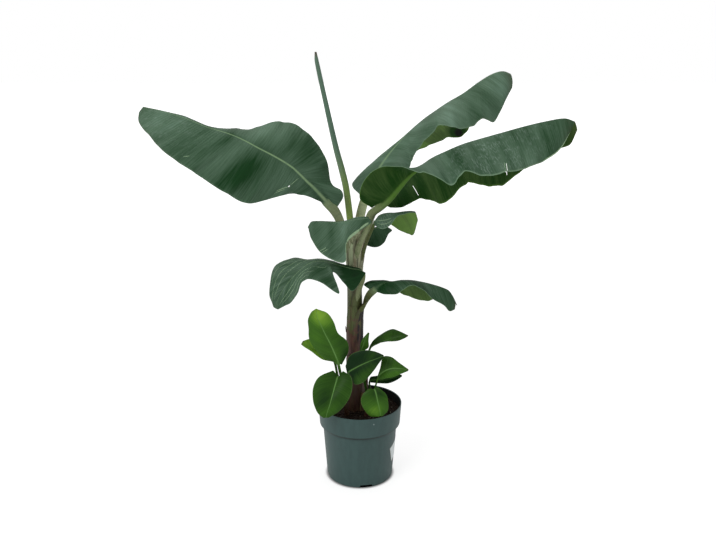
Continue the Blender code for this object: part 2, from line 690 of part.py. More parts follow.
def leaf_surfaces(leaf, size):
    """Grids of points of a leaf's upper and lower surface, from left margin to right margin."""
    middle, forward, side, up, margins, rib, in_blade = leaf_frame(leaf, size)
    strips = np.linspace(0, 1, size["blade_strips"] + 1)
    arch, wing, wing_slope = 0.08, size["wing"], 1.0
    halves = []
    for sign, margin in zip((-1, 1), margins):
        edge = middle + sign * rib[:, None] * side
        wall = (sign * side * math.cos(wing_slope) + up * math.sin(wing_slope)) * wing
        reach = np.where(in_blade[:, None], margin - edge, wall)
        width = np.linalg.norm(reach, axis=1, keepdims=True)
        reach = np.where(width < wing, unit(reach) * wing, reach)
        crown = unit(np.cross(reach, forward)) * sign * np.maximum(width, wing) * in_blade[:, None]
        halves.append([edge + reach * u + crown * arch * 4 * u * (1 - u) for u in strips])
    across = np.linspace(-1, 1, size["rib_strips"] + 1)[1:-1]
    depth = 0.9 * rib
    channel = [
        middle + (x * rib)[:, None] * side - (0.35 * depth * (1 - x * x))[:, None] * up for x in across
    ]
    keel = [
        middle + (x * rib)[:, None] * side - (BLADE + depth * math.sqrt(1 - x * x))[:, None] * up
        for x in across
    ]
    upper = np.stack(halves[0][::-1] + channel + halves[1], axis=1)
    normal = unit(np.cross(np.gradient(upper, axis=1), np.gradient(upper, axis=0)))
    rib_edges = (size["blade_strips"], size["blade_strips"] + size["rib_strips"])
    for column in rib_edges:
        normal[:, column] = unit(normal[:, column] + up)
    lower = upper - BLADE * normal
    lower[:, rib_edges[0] + 1 : rib_edges[1]] = np.stack(keel, axis=1)
    return upper, lower


def two_sided_faces(rows, columns):
    """Triangles of a closed sheet: an upper grid of points, then the same grid underneath."""
    under = rows * columns
    index = np.arange(under).reshape(rows, columns)
    faces = []
    for i in range(rows - 1):
        for j in range(columns - 1):
            a, b = index[i, j], index[i, j + 1]
            c, d = index[i + 1, j + 1], index[i + 1, j]
            faces += [(a, b, c), (a, c, d)]
            faces += [(c + under, b + under, a + under), (d + under, c + under, a + under)]
    for edge in (index[:, 0], index[::-1, -1], index[0, ::-1], index[-1, :]):
        for p, q in zip(edge[:-1], edge[1:]):
            faces += [(p, q, q + under), (p, q + under, p + under)]
    return [tuple(int(k) for k in face) for face in faces]


def make_leaf(name, leaf, collection, material):
    """One closed solid: upper and lower surface split into triangles alike, with thin edges."""
    upper, lower = leaf_surfaces(leaf, SIZES[leaf["size"]])
    faces = two_sided_faces(*upper.shape[:2])
    points = np.concatenate([upper.reshape(-1, 3), lower.reshape(-1, 3)])
    return add_mesh(name, points, faces, material, collection)


def make_label(collection, material):
    """A thin sticker that follows the body of the pot."""
    steps = 5
    columns = steps + 1
    layers = []
    for lift in (LABEL_LIFT + LABEL_THICKNESS, LABEL_LIFT):
        for i in range(columns):
            for j in range(columns):
                a = LABEL_WIDTH * j / steps
                b = LABEL_DROP * i / steps
                along = a * math.cos(LABEL_TILT) + b * math.sin(LABEL_TILT)
                height = LABEL_CORNER_HEIGHT + a * math.sin(LABEL_TILT) - b * math.cos(LABEL_TILT)
                radius = radius_at(BODY, height) + lift
                turn = LABEL_CORNER_TURN + along / radius
                layers.append((radius * math.cos(turn), radius * math.sin(turn), height))
    faces = [face[::-1] for face in two_sided_faces(columns, columns)]
    return add_mesh("pot_label", layers, faces, material, collection)


def main():
    clear_scene()
    plant = new_collection("potted_banana_plant")
    cutters = new_collection("cutters", hidden=True)
    materials = {name: make_material(name) for name in COLOURS}

    make_pot(plant, cutters, materials["pot"])
    make_label(plant, materials["label"])
    soil = make_soil(plant, materials["soil"])
    make_stem("pseudostem", plant, materials["stem"])
    stem_room = as_cutter(make_stem("stem_room", cutters, None, GAP))
    add_cut(soil, stem_room)
    rooms = {"pseudostem": stem_room}
    for name in SHOOTS:
        make_shoot(name, plant, materials["shoot"])
        rooms[name] = as_cutter(make_shoot(name, cutters, None, name + "_room", GAP))
        add_cut(soil, rooms[name])

    spear = make_spear(plant, materials["spear"])
    add_cut(spear, stem_room)
    for name, leaf in LEAVES.items():
        young = name.startswith("pup")
        obj = make_leaf(name, leaf, plant, materials["young" if young else "leaf"])
        add_cut(obj, rooms[leaf["on"]])


main()
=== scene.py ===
import math
import random

import bmesh
import bpy
import numpy as np
from bpy.props import FloatProperty, FloatVectorProperty, IntProperty, PointerProperty
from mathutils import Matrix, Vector, noise


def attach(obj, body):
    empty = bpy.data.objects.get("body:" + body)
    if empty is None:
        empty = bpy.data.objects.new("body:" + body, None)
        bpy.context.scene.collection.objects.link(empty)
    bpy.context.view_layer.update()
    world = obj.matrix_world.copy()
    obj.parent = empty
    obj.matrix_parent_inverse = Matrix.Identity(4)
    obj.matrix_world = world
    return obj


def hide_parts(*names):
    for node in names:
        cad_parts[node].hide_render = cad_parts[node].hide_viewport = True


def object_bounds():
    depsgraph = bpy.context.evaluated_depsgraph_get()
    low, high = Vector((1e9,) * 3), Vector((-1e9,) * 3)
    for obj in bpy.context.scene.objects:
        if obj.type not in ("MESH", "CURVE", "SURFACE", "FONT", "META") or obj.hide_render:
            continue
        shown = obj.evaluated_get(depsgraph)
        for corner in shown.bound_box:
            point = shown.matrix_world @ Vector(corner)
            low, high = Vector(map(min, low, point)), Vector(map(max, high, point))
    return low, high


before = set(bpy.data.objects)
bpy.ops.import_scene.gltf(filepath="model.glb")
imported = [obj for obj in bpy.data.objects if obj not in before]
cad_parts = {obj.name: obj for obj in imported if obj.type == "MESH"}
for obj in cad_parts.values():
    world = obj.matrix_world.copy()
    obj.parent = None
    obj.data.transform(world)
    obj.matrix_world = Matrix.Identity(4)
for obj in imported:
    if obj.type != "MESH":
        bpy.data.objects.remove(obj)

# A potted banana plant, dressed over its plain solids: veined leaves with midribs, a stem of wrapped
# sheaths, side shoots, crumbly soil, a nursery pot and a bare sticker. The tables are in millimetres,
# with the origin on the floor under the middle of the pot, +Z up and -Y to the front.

bl_info = {
    "name": "Potted banana plant",
    "version": (1, 0, 0),
    "blender": (4, 5, 0),
    "location": "3D View > Sidebar > Plant",
    "description": "Dresses a young banana plant in a nursery pot",
    "category": "Add Mesh",
}

MM = 0.001
CAD_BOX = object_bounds()
BODY = "root"

# Main stem: centre and radius, from its foot in the soil to its top
STEM = np.array((
    (-6, 0, 130, 19.0), (-7, 0, 170, 25.0), (-8, 0, 200, 26.5), (-9, 0, 235, 24.5), (-10, 0, 275, 23.5),
    (-12, 0, 330, 24.0), (-14, 0, 400, 24.5), (-15, 0, 440, 24.0), (-14, 0, 480, 22.5), (-15, 0, 545, 20.5),
    (-15, 0, 600, 21.5), (-15, 0, 660, 22.5), (-15, 0, 700, 22.5), (-16, 0, 728, 20.0),
))
STEM_LOW, STEM_TOP = STEM[0, 2], STEM[-1, 2]

# Side shoots, in the same way
SHOOTS = {
    "sucker_left": ((-34, -44, 172, 6.0), (-36, -45, 205, 7.0), (-43, -52, 250, 6.5), (-47, -56, 288, 5.5)),
    "sucker_right": ((16, -46, 172, 6.0), (19, -48, 205, 7.0), (29, -53, 245, 6.5), (37, -57, 280, 5.5)),
    "sucker_back": ((19, 26, 172, 5.0), (19, 27, 205, 6.5), (19, 30, 260, 5.5), (20, 34, 304, 4.5)),
}

# How finely the rods and sheets are drawn: sides or columns, then millimetres a ring or row, or their number
STEM_SIDES, STEM_STEP = 120, 3.0
SHOOT_SIDES, SHOOT_STEP = 40, 2.0
SPEAR_SIDES, SPEAR_RINGS = 64, 240
SOIL_SIDES, SOIL_STEP = 200, 2.0
WRAP_COLUMNS, WRAP_STEP = 46, 1.6
FOOT_COLUMNS, FOOT_ROWS = 40, 34
SCAR_POINTS, STICKER_POINTS = 24, 40

# Leaves: places along a leaf's tables, rounds of smoothing, millimetres a row of the petiole, how far below
# its foot a blade starts to open, how far the foot of a grown leaf's stalk bends into the stem, and up to where
TABLE_STEPS, SMOOTHING, PETIOLE_ROW, OPENING = 900, 120, 3.0, 10.0
STALK_BEND, STALK_BEND_REACH = 5.0, 45.0

# Stem: how far its skin lies inside its solid between the sheaths' edges, over what height such an edge fades
# at its ends, and how far round, in radians, its step falls off
SKIN_INSET, SEAM_FADE, SEAM_FALL = 0.8, 25, 0.8

# How ragged a sheath's upper edge is, how far its two faces stand off, and the share of a petiole up to which
# the wrapped foot of its stalk goes
RAGGED, SHEATH_FACES, STALK_FOOT_SHARE = 2.2, (0.45, -0.25), 0.55

# Half-width of petiole and midrib, at the petiole's foot, the blade's foot, a quarter along and the tip
RIBS = {"large": (13.0, 10.0, 5.5, 1.5), "medium": (5.5, 5.0, 3.5, 1.5), "small": (3.0, 2.5, 2.0, 1.0)}

# Every leaf: the points up its petiole, and the rows across its blade from foot to tip. A row is the midrib,
# the left margin and the right margin, seen from above, looking to the tip. The small leaves grow on the side
# shoots. stalk is how many times as wide as usual a petiole is.
LEAVES = {
    "leaf_top_left": dict(size="large", sections=(
        -92, -45, 823,  -102, -50, 819,  -58, -44, 806,
        -114, -60, 852,  -140, -85, 842,  -44, -42, 832,
        -123, -66, 863,  -155, -94, 846,  -49, -40, 848,
        -133, -73, 874,  -169, -101, 850,  -71, -36, 862,
        -152, -84, 896,  -201, -123, 849,  -83, -36, 909,
        -173, -95, 918,  -235, -145, 842,  -108, -35, 966,
        -210, -112, 945,  -279, -177, 840,  -162, -37, 1018,
        -251, -129, 970,  -330, -199, 871,  -215, -49, 1026,
        -287, -141, 992,  -382, -211, 911,  -271, -61, 1014,
        -322, -153, 1009,  -419, -218, 937,  -316, -53, 1004,
        -372, -165, 1026,  -465, -220, 973,  -371, -65, 994,
        -424, -176, 1049,  -498, -216, 1009,  -428, -86, 1025,
        -476, -183, 1065,  -522, -208, 1040,  -479, -128, 1048,
        -516, -185, 1074,  -525, -192, 1061,  -513, -170, 1068,
    ), petiole=(-22, -5, 643, -40, -12, 721, -66, -30, 788)),
    "leaf_top_back": dict(size="large", sections=(
        36, 55, 863,  1, 65, 815,  47, 50, 850,
        58, 70, 902,  -21, 114, 842,  87, 45, 884,
        96, 80, 950,  62, 180, 889,  129, 30, 897,
        137, 90, 990,  155, 224, 912,  144, 20, 930,
        169, 95, 1018,  207, 224, 935,  169, 0, 972,
        202, 100, 1041,  252, 238, 954,  200, -15, 1010,
        243, 105, 1068,  307, 238, 964,  248, -10, 1009,
        281, 110, 1089,  331, 238, 1012,  291, 20, 1006,
        321, 115, 1117,  364, 238, 1063,  328, 40, 1026,
        357, 120, 1138,  397, 238, 1091,  363, 60, 1019,
        389, 135, 1146,  422, 238, 1113,  393, 90, 1070,
        416, 152, 1139,  431, 231, 1114,  417, 125, 1103,
    ), petiole=(-13, 9, 655, -6, 17, 723, 7, 30, 787, 22, 45, 829)),
    "leaf_top_right": dict(size="large", sections=(
        66, -55, 817,  79, -50, 804,  31, -60, 805,
        81, -64, 835,  101, -39, 802,  -1, -99, 839,
        98, -73, 858,  127, -28, 808,  16, -124, 897,
        115, -87, 882,  154, -27, 822,  59, -149, 927,
        129, -97, 899,  178, -27, 821,  102, -183, 932,
        151, -111, 920,  203, -36, 816,  144, -212, 922,
        179, -125, 944,  233, -55, 824,  180, -225, 915,
        213, -139, 964,  266, -74, 866,  222, -224, 894,
        250, -148, 981,  283, -93, 878,  245, -240, 927,
        292, -157, 996,  330, -92, 867,  294, -231, 918,
        344, -166, 1012,  369, -101, 878,  351, -230, 925,
        396, -176, 1028,  418, -121, 920,  393, -229, 935,
        445, -180, 1040,  467, -140, 965,  440, -220, 952,
        488, -184, 1047,  513, -150, 980,  478, -209, 980,
        511, -188, 1040,  525, -165, 1018,  502, -196, 1020,
    ), petiole=(1, 4, 650, 12, -1, 712, 32, -28, 783, 50, -45, 802)),
    "leaf_mid_left": dict(size="medium", sections=(
        25, -68, 779,  31, -76, 769,  21, -58, 779,
        -8, -75, 779,  -8, -95, 746,  -13, -40, 773,
        -29, -80, 775,  -34, -110, 723,  -35, -46, 764,
        -52, -85, 772,  -39, -120, 675,  -61, -50, 760,
        -78, -90, 774,  -75, -130, 685,  -88, -55, 762,
        -103, -95, 775,  -105, -130, 707,  -113, -60, 765,
        -124, -98, 776,  -125, -120, 736,  -128, -80, 769,
        -134, -100, 764,  -132, -105, 754,  -135, -95, 759,
    ), petiole=(-12, -20, 640, -1, -38, 700, 19, -56, 754)),
    "leaf_mid_right": dict(size="medium", stalk=0.75, sections=(
        45, -46, 777,  48, -30, 767,  37, -50, 757,
        58, -50, 786,  65, -10, 762,  58, -75, 752,
        76, -55, 791,  89, -10, 746,  78, -80, 763,
        94, -60, 793,  113, -20, 735,  93, -85, 785,
        115, -63, 796,  131, -30, 728,  111, -85, 796,
        133, -65, 798,  144, -40, 731,  133, -80, 797,
        145, -66, 797,  153, -55, 772,  146, -70, 794,
    ), petiole=(1, -12, 630, 16, -29, 700, 35, -39, 751)),
    "leaf_mid_back": dict(size="medium", sections=(
        28, 40, 722,  31, 60, 721,  9, 33, 686,
        45, 47, 727,  48, 80, 720,  30, 20, 680,
        61, 53, 729,  65, 90, 720,  50, 20, 680,
        78, 58, 725,  82, 80, 717,  68, 30, 691,
        90, 62, 717,  90, 70, 716,  75, 50, 707,
    ), petiole=(-3, 14, 600, 3, 31, 658, 17, 36, 704)),
    "leaf_low_left": dict(size="medium", sections=(
        6, -54, 633,  16, -60, 628,  3, -45, 635,
        -24, -62, 642,  -18, -80, 584,  -27, -20, 633,
        -48, -68, 650,  -42, -90, 609,  -55, -10, 636,
        -71, -73, 659,  -67, -95, 639,  -79, -10, 643,
        -87, -76, 664,  -70, -110, 637,  -95, -15, 648,
        -106, -80, 667,  -55, -120, 588,  -114, -20, 652,
        -124, -85, 666,  -99, -120, 618,  -138, -30, 656,
        -145, -90, 656,  -133, -120, 629,  -169, -40, 665,
        -166, -95, 638,  -151, -120, 618,  -197, -60, 664,
        -184, -98, 619,  -163, -115, 590,  -224, -80, 654,
        -201, -100, 597,  -182, -110, 561,  -235, -90, 628,
        -215, -100, 572,  -199, -105, 550,  -241, -95, 583,
        -228, -98, 542,  -218, -100, 538,  -233, -98, 553,
    ), petiole=(-8, -20, 524, -3, -35, 572, 8, -45, 610)),
    "leaf_low_right": dict(size="medium", stalk=1.7, sections=(
        44, -47, 582,  26, -44, 577,  46, -52, 572,
        52, -50, 590,  11, -37, 589,  55, -62, 572,
        60, -53, 596,  32, -25, 597,  64, -72, 572,
        68, -55, 601,  66, -10, 589,  72, -80, 574,
        89, -60, 604,  100, 0, 562,  99, -90, 578,
        113, -65, 610,  131, 0, 547,  116, -100, 598,
        139, -70, 611,  155, -10, 539,  139, -110, 608,
        166, -75, 608,  182, -20, 536,  169, -110, 593,
        192, -80, 602,  203, -30, 545,  196, -100, 566,
        219, -83, 594,  223, -50, 560,  224, -95, 548,
        238, -85, 584,  247, -72, 557,  238, -90, 531,
        257, -85, 549,  261, -80, 543,  254, -87, 534,
    ), petiole=(-5, -10, 486, 9, -25, 529, 24, -37, 557)),
    "pup_left_top": dict(size="small", sections=(
        -61, -60, 372,  -80, -55, 372,  -50, -60, 363,
        -71, -65, 402,  -107, -60, 389,  -32, -60, 403,
        -82, -70, 431,  -137, -65, 435,  -36, -60, 434,
        -95, -73, 459,  -140, -70, 475,  -60, -65, 459,
        -105, -75, 483,  -141, -73, 499,  -71, -68, 492,
        -115, -76, 506,  -133, -75, 520,  -87, -72, 518,
        -118, -76, 532,  -124, -76, 529,  -109, -75, 529,
    ), petiole=(-46, -55, 274, -50, -56, 305, -56, -58, 345)),
    "pup_left_side": dict(size="small", sections=(
        -75, -34, 371,  -75, -36, 362,  -67, -30, 395,
        -100, -33, 387,  -106, -45, 374,  -89, -20, 415,
        -125, -32, 399,  -133, -45, 395,  -117, -20, 424,
        -148, -32, 408,  -150, -40, 405,  -142, -22, 425,
        -163, -32, 415,  -163, -34, 412,  -159, -30, 422,
    ), petiole=(-41, -49, 236, -52, -42, 275, -64, -36, 325)),
    "pup_left_front": dict(size="small", sections=(
        -60, -80, 338,  -46, -75, 351,  -74, -80, 355,
        -67, -95, 321,  -24, -90, 340,  -112, -95, 342,
        -72, -107, 306,  -21, -105, 314,  -128, -105, 314,
        -77, -118, 290,  -30, -115, 286,  -128, -115, 280,
        -83, -126, 270,  -51, -125, 260,  -120, -124, 258,
        -89, -132, 254,  -69, -130, 247,  -111, -130, 246,
        -92, -136, 240,  -85, -136, 240,  -99, -136, 239,
    ), petiole=(-45, -54, 250, -51, -67, 285, -55, -75, 320)),
    "pup_middle": dict(size="small", sections=(
        -31, -78, 348,  -40, -76, 366,  -24, -80, 338,
        -13, -85, 364,  -27, -78, 398,  -16, -90, 319,
        9, -90, 378,  6, -83, 415,  9, -100, 329,
        28, -95, 389,  33, -90, 417,  36, -100, 360,
        46, -100, 398,  52, -96, 413,  52, -103, 386,
        64, -104, 408,  64, -104, 410,  65, -104, 404,
    ), petiole=(-40, -52, 262, -33, -61, 290, -30, -70, 325)),
    "pup_right_top": dict(size="small", sections=(
        54, -70, 337,  56, -66, 356,  53, -74, 324,
        72, -77, 354,  64, -66, 389,  72, -85, 333,
        91, -82, 362,  86, -70, 391,  94, -90, 340,
        110, -86, 363,  107, -78, 378,  113, -92, 350,
        133, -90, 361,  132, -89, 363,  132, -91, 358,
    ), petiole=(36, -57, 270, 41, -60, 292, 47, -66, 318)),
    "pup_right_under": dict(size="small", sections=(
        29, -48, 311,  30, -44, 321,  30, -53, 307,
        73, -55, 316,  73, -45, 329,  76, -62, 308,
        95, -58, 323,  95, -50, 335,  98, -63, 316,
        117, -60, 331,  117, -60, 333,  117, -60, 328,
    ), petiole=(33, -54, 256, 32, -48, 274, 27, -47, 294)),
    "pup_front": dict(size="small", sections=(
        40, -83, 301,  50, -83, 307,  25, -83, 302,
        45, -90, 288,  72, -90, 289,  9, -90, 289,
        49, -95, 270,  78, -96, 268,  3, -95, 270,
        53, -99, 254,  78, -99, 245,  11, -99, 248,
        56, -101, 240,  67, -101, 231,  28, -101, 228,
        57, -103, 229,  59, -103, 227,  50, -103, 226,
    ), petiole=(31, -54, 248, 33, -69, 275, 35, -78, 297)),
    "pup_new": dict(size="small", sections=(
        3, -52, 398,  0, -52, 404,  9, -52, 400,
        9, -54, 420,  2, -54, 425,  24, -53, 413,
        15, -55, 438,  9, -55, 440,  24, -55, 433,
        24, -56, 456,  22, -56, 457,  26, -56, 455,
    ), petiole=(27, -52, 236, 20, -45, 270, 8, -44, 330, 4, -48, 372)),
    "pup_right_back": dict(size="small", sections=(
        31, 42, 375,  29, 45, 380,  32, 38, 375,
        52, 40, 389,  41, 50, 396,  49, 30, 391,
        75, 37, 400,  67, 60, 413,  75, 20, 402,
        101, 33, 409,  93, 60, 425,  103, 20, 403,
        121, 30, 415,  115, 45, 423,  123, 20, 409,
        138, 28, 417,  136, 30, 418,  137, 26, 415,
    ), petiole=(18, 30, 228, 19, 35, 289, 24, 40, 343)),
}

# The rolled new leaf: its route, its radii, and how far its edge winds round it, in radians
SPEAR_ROUTE = (
    (-16, 0, 670), (-21, 0, 704), (-26, -2, 755), (-37, -6, 848), (-48, -9, 898),
    (-63, -12, 956), (-90, -15, 1079), (-110, -15, 1174), (-113, -15, 1199),
)
SPEAR_RADII = (10.0, 10.0, 9.8, 9.2, 8.8, 7.9, 6.6, 5.6, 2.6)
SPEAR_WIND = 2.6

# How each kind of leaf is drawn: millimetres a row, columns across half a blade and across the midrib, width
# of the petiole's wings, distance between side veins, strength of veins, waves and streaks, how far up its
# foot is hidden in the stem, and where the midrib's colour starts and ends to fade
FINE = {
    "large": dict(
        row=1.6, strips=14, rib_strips=8, wing=3.5, spacing=6.6, veins=1.0, wave=1.0, streaks=1.0, sunk=34.0,
        rib_fade=(0.15, 0.6),
    ),
    "medium": dict(
        row=1.5, strips=11, rib_strips=8, wing=2.5, spacing=6.0, veins=0.8, wave=0.6, streaks=1.0, sunk=34.0,
        rib_fade=(0.15, 0.6),
    ),
    "small": dict(
        row=1.3, strips=9, rib_strips=6, wing=1.4, spacing=5.0, veins=0.4, wave=0.25, streaks=0.5, sunk=12.0,
        rib_fade=(0.5, 1.1),
    ),
}

# Waves of a margin: period in millimetres and strength
RIPPLES = ((23.0, 0.25), (41.0, 0.6), (67.0, 0.7), (103.0, 0.9))

# Colour streaks on a blade: name, how fine they are along the midrib and out from it, and detail
STREAKS = (("Band", 24.0, 5.0, 1.0), ("Broad", 75.0, 9.0, 2.0), ("Fine", 420.0, 18.0, 3.0))

# How far a blade bulges as a share of its half-width, depth of the midrib and of the channel on it as shares
# of the midrib's half-width, and the way that a petiole's wings point, outwards and up
BULGE, RIB_DEPTH, CHANNEL_DEPTH = 0.08, 0.9, 0.315
WING_OUT, WING_UP = 0.54, 0.84

# Slits: half (-1 left, 1 right), share of the blade's length, inner and outer share of its width, and the
# slit's own width
SLITS = {
    "leaf_top_left": ((-1, 0.204, 0.46, 0.54, 4.4),),
    "leaf_top_right": ((1, 0.675, 0.79, 0.99, 3.2), (-1, 0.687, 0.57, 0.85, 9.0), (-1, 0.170, 0.42, 0.88, 2.6)),
}

# Pale scars and folds on the upper side: half, then share of the blade's length and of its width where the
# line starts and ends, and its width
SCARS = {
    "leaf_top_left": ((-1, 0.192, 0.06, 0.203, 0.46, 0.9), (-1, 0.205, 0.54, 0.246, 0.72, 1.3),
                      (-1, 0.212, 0.66, 0.244, 0.80, 0.9), (-1, 0.640, 0.86, 0.628, 0.78, 1.0)),
    "leaf_top_right": ((1, 0.86, 0.985, 0.995, 0.97, 2.2), (1, 0.670, 0.78, 0.670, 0.99, 0.8),
                       (1, 0.680, 0.78, 0.680, 0.99, 0.8)),
    "leaf_mid_left": ((-1, 0.775, 0.98, 0.690, 0.74, 1.1), (-1, 0.748, 0.98, 0.668, 0.76, 0.8),
                      (-1, 0.040, 0.66, 0.165, 0.88, 5.0), (-1, 0.160, 0.875, 0.335, 0.95, 6.5),
                      (-1, 0.330, 0.95, 0.412, 0.66, 2.6), (-1, 0.412, 0.66, 0.440, 0.98, 1.2)),
    "leaf_mid_right": ((1, 0.03, 0.35, 0.40, 0.55, 1.1), (1, 0.05, 0.65, 0.42, 0.80, 0.9),
                       (-1, 0.04, 0.3, 0.35, 0.25, 0.9)),
    "leaf_low_left": ((-1, 0.36, 0.20, 0.95, 0.43, 0.7), (-1, 0.47, 0.47, 0.90, 0.64, 0.6),
                      (-1, 0.52, 0.72, 0.80, 0.88, 0.5), (1, 0.33, 0.27, 0.93, 0.33, 0.7),
                      (1, 0.40, 0.48, 0.96, 0.63, 0.6), (1, 0.55, 0.76, 0.84, 0.84, 0.5)),
}

# How each leaf is coloured. rib: how much the midrib shows above; rim: how pale the margin is; tip: how
# brown the tip is; stalk: from dark olive, -1, to pale, 1; upper and under: tone of each side, from dark,
# -1, to light, 1, which holds painted light and shade along with the leaf's own tone: lower where a leaf
# lies in shade, higher where light comes through its underside and where it shines on its upper side;
# slant: how far the side veins of the left and right half lean towards the tip, 0.5 if not given; veins:
# how plainly they show; dust: place, spread and strength on the left and right half; spots: softly lighter
# or darker places on the upper side, partly painted light and shade and partly the leaf's own blotches, as
# share of the blade's length, share of its width (left is negative), reach along, reach across and
# strength; below: the same on the underside, where the darkest are painted deep shade.
TINTS = {
    "leaf_top_left": dict(
        rib=1.0, rim=0.2, tip=0.1, stalk=0.6, upper=0.08, under=-0.3, dust=(0.88, 0.2, 0.5, 0.1),
        slant=(-0.06, 0.0), veins=0.5,
        spots=((0.445, -0.65, 0.045, 0.5, -1.3), (0.41, -0.2, 0.035, 0.35, -0.9), (0.68, -0.8, 0.05, 0.35, -0.8),
               (0.58, -0.1, 0.03, 0.3, -0.5), (0.54, -0.6, 0.05, 0.5, 0.6), (0.35, -0.5, 0.035, 0.5, 0.3),
               (0.84, -0.4, 0.09, 0.6, 0.6), (0.44, 0.5, 0.06, 0.7, 0.5), (0.29, 0.65, 0.05, 0.5, -0.9),
               (0.19, 0.75, 0.05, 0.5, -0.6), (0.27, -0.5, 0.04, 0.5, -0.2), (0.72, -0.3, 0.03, 0.5, -0.3)),
    ),
    "leaf_top_back": dict(
        rib=0.6, rim=0.5, tip=0.3, stalk=1.0, upper=0.3, under=1.35, dust=(0.5, 0.3, 0.0, 0.2),
        slant=(0.2, 0.75), veins=0.5,
        below=((0.57, -0.92, 0.04, 0.22, -6.5), (0.47, -0.95, 0.05, 0.2, -0.8)),
        spots=((0.30, 0.5, 0.10, 0.8, 0.5), (0.58, 0.5, 0.04, 0.7, 0.6), (0.74, 0.6, 0.06, 0.7, -0.7),
               (0.90, 0.5, 0.05, 0.7, 0.5), (0.05, -0.5, 0.1, 0.8, 0.3), (0.45, 0.6, 0.04, 0.6, -0.4)),
    ),
    "leaf_top_right": dict(
        rib=0.35, rim=0.9, tip=0.2, stalk=0.1, upper=-0.1, under=-0.85, dust=(0.62, 0.22, 0.1, 0.9),
        slant=(0.0, 0.35), veins=0.4,
        below=((0.99, -0.5, 0.06, 1.2, 0.8),),
        spots=((0.35, 0.5, 0.06, 0.8, 0.5), (0.93, 0.4, 0.07, 0.8, -0.4), (0.80, 0.9, 0.1, 0.3, 0.4),
               (0.10, -0.5, 0.12, 0.8, -0.9), (0.75, 0.2, 0.08, 0.4, -0.5), (0.48, 0.4, 0.06, 0.7, -0.7)),
    ),
    "leaf_mid_left": dict(
        rib=0.2, rim=0.9, tip=0.1, stalk=0.5, upper=0.25, under=0.5, dust=(0.35, 0.30, 0.3, 0.3),
        slant=(0.8, 0.2), veins=1.4,
        spots=((0.10, -0.4, 0.1, 0.6, -0.4), (0.45, -0.5, 0.06, 0.8, 0.4), (0.62, -0.2, 0.05, 0.8, -0.6),
               (0.85, -0.3, 0.1, 0.8, -0.2)),
    ),
    "leaf_mid_right": dict(
        rib=0.5, rim=0.9, tip=0.1, stalk=-0.7, upper=0.35, under=1.7, dust=(0.2, 0.3, 0.8, 0.8),
        slant=(0.3, 0.3), veins=1.2,
    ),
    "leaf_mid_back": dict(
        rib=0.2, rim=0.1, tip=0.2, stalk=0.3, upper=-0.7, under=-0.15, slant=(0.3, 0.5), veins=0.6,
    ),
    "leaf_low_left": dict(
        rib=0.5, rim=0.5, tip=0.1, stalk=0.0, upper=-0.05, under=-0.5, dust=(0.70, 0.35, 0.8, 0.8),
        slant=(2.2, 2.2), veins=2.6,
        spots=((0.06, -0.5, 0.13, 1.2, -2.2), (0.10, 0.5, 0.12, 1.0, -1.5), (0.45, -0.6, 0.08, 0.5, -0.6),
               (0.62, 0.4, 0.10, 0.6, -0.2), (0.85, -0.6, 0.1, 0.5, -0.4)),
    ),
    "leaf_low_right": dict(
        rib=0.15, rim=0.7, tip=0.3, stalk=-0.8, upper=-0.65, under=0.4, dust=(0.5, 0.3, 0.3, 0.3),
        slant=(0.3, 0.4), veins=1.2,
        spots=((0.15, 0.5, 0.12, 0.8, -0.9), (0.55, 0.3, 0.1, 0.6, 0.5), (0.98, 0.2, 0.06, 1.2, 0.5)),
    ),
    "pup_left_top": dict(
        rib=1.0, rim=0.2, tip=0.3, stalk=0.2, upper=0.3, under=0.7, veins=0.6,
        spots=((0.95, 0.2, 0.25, 1.2, 1.9), (0.15, 0.8, 0.25, 0.5, -1.1), (0.10, -0.6, 0.2, 0.5, -0.5),
               (0.45, -0.5, 0.1, 0.4, 0.4), (0.55, 0.2, 0.12, 0.4, -0.3)),
    ),
    "pup_left_side": dict(
        rib=0.6, rim=0.2, tip=0.9, stalk=0.2, upper=1.3, under=1.1, veins=0.6,
        spots=((0.1, 0.0, 0.25, 1.2, -0.7),),
    ),
    "pup_left_front": dict(
        rib=1.0, rim=0.5, tip=0.1, stalk=0.2, upper=-0.3, under=0.0, veins=0.8,
        spots=((0.35, -0.6, 0.2, 0.5, -0.15), (0.7, -0.4, 0.15, 0.4, 0.25), (0.5, 0.4, 0.3, 0.4, -0.5),
               (0.05, 0.4, 0.1, 1.0, -0.3), (0.85, 0.3, 0.15, 0.8, 0.4)),
    ),
    "pup_middle": dict(
        rib=0.7, rim=0.5, tip=0.2, stalk=0.2, upper=-1.2, under=0.0, veins=0.8,
        spots=((0.45, 0.75, 0.25, 0.45, 0.9), (0.1, -0.4, 0.2, 0.8, -0.5), (0.7, -0.5, 0.15, 0.5, 0.3)),
    ),
    "pup_right_top": dict(
        rib=1.0, rim=0.2, tip=0.9, stalk=0.5, upper=0.0, under=0.4, veins=0.8,
        spots=((0.5, 0.6, 0.3, 0.5, 0.5), (0.35, -0.5, 0.2, 0.6, -0.6)),
    ),
    "pup_right_under": dict(rib=0.4, rim=0.1, tip=0.2, stalk=-0.4, upper=-1.2, under=-1.0, veins=0.3),
    "pup_front": dict(
        rib=0.9, rim=0.4, tip=0.1, stalk=0.2, upper=0.2, under=0.3, veins=0.8,
        spots=((0.15, -0.3, 0.2, 0.9, -0.9), (0.75, 0.3, 0.25, 0.8, 0.7), (0.9, -0.6, 0.2, 0.5, -0.4)),
    ),
    "pup_new": dict(
        rib=0.5, rim=0.1, tip=0.9, stalk=0.2, upper=0.1, under=0.1, veins=0.6,
        spots=((0.1, 0.0, 0.3, 1.2, -0.6),),
    ),
    "pup_right_back": dict(
        rib=0.4, rim=0.2, tip=1.0, stalk=-0.2, upper=-0.35, under=-0.3, veins=0.8,
        spots=((0.5, 0.0, 0.15, 1.0, 0.4),),
    ),
}
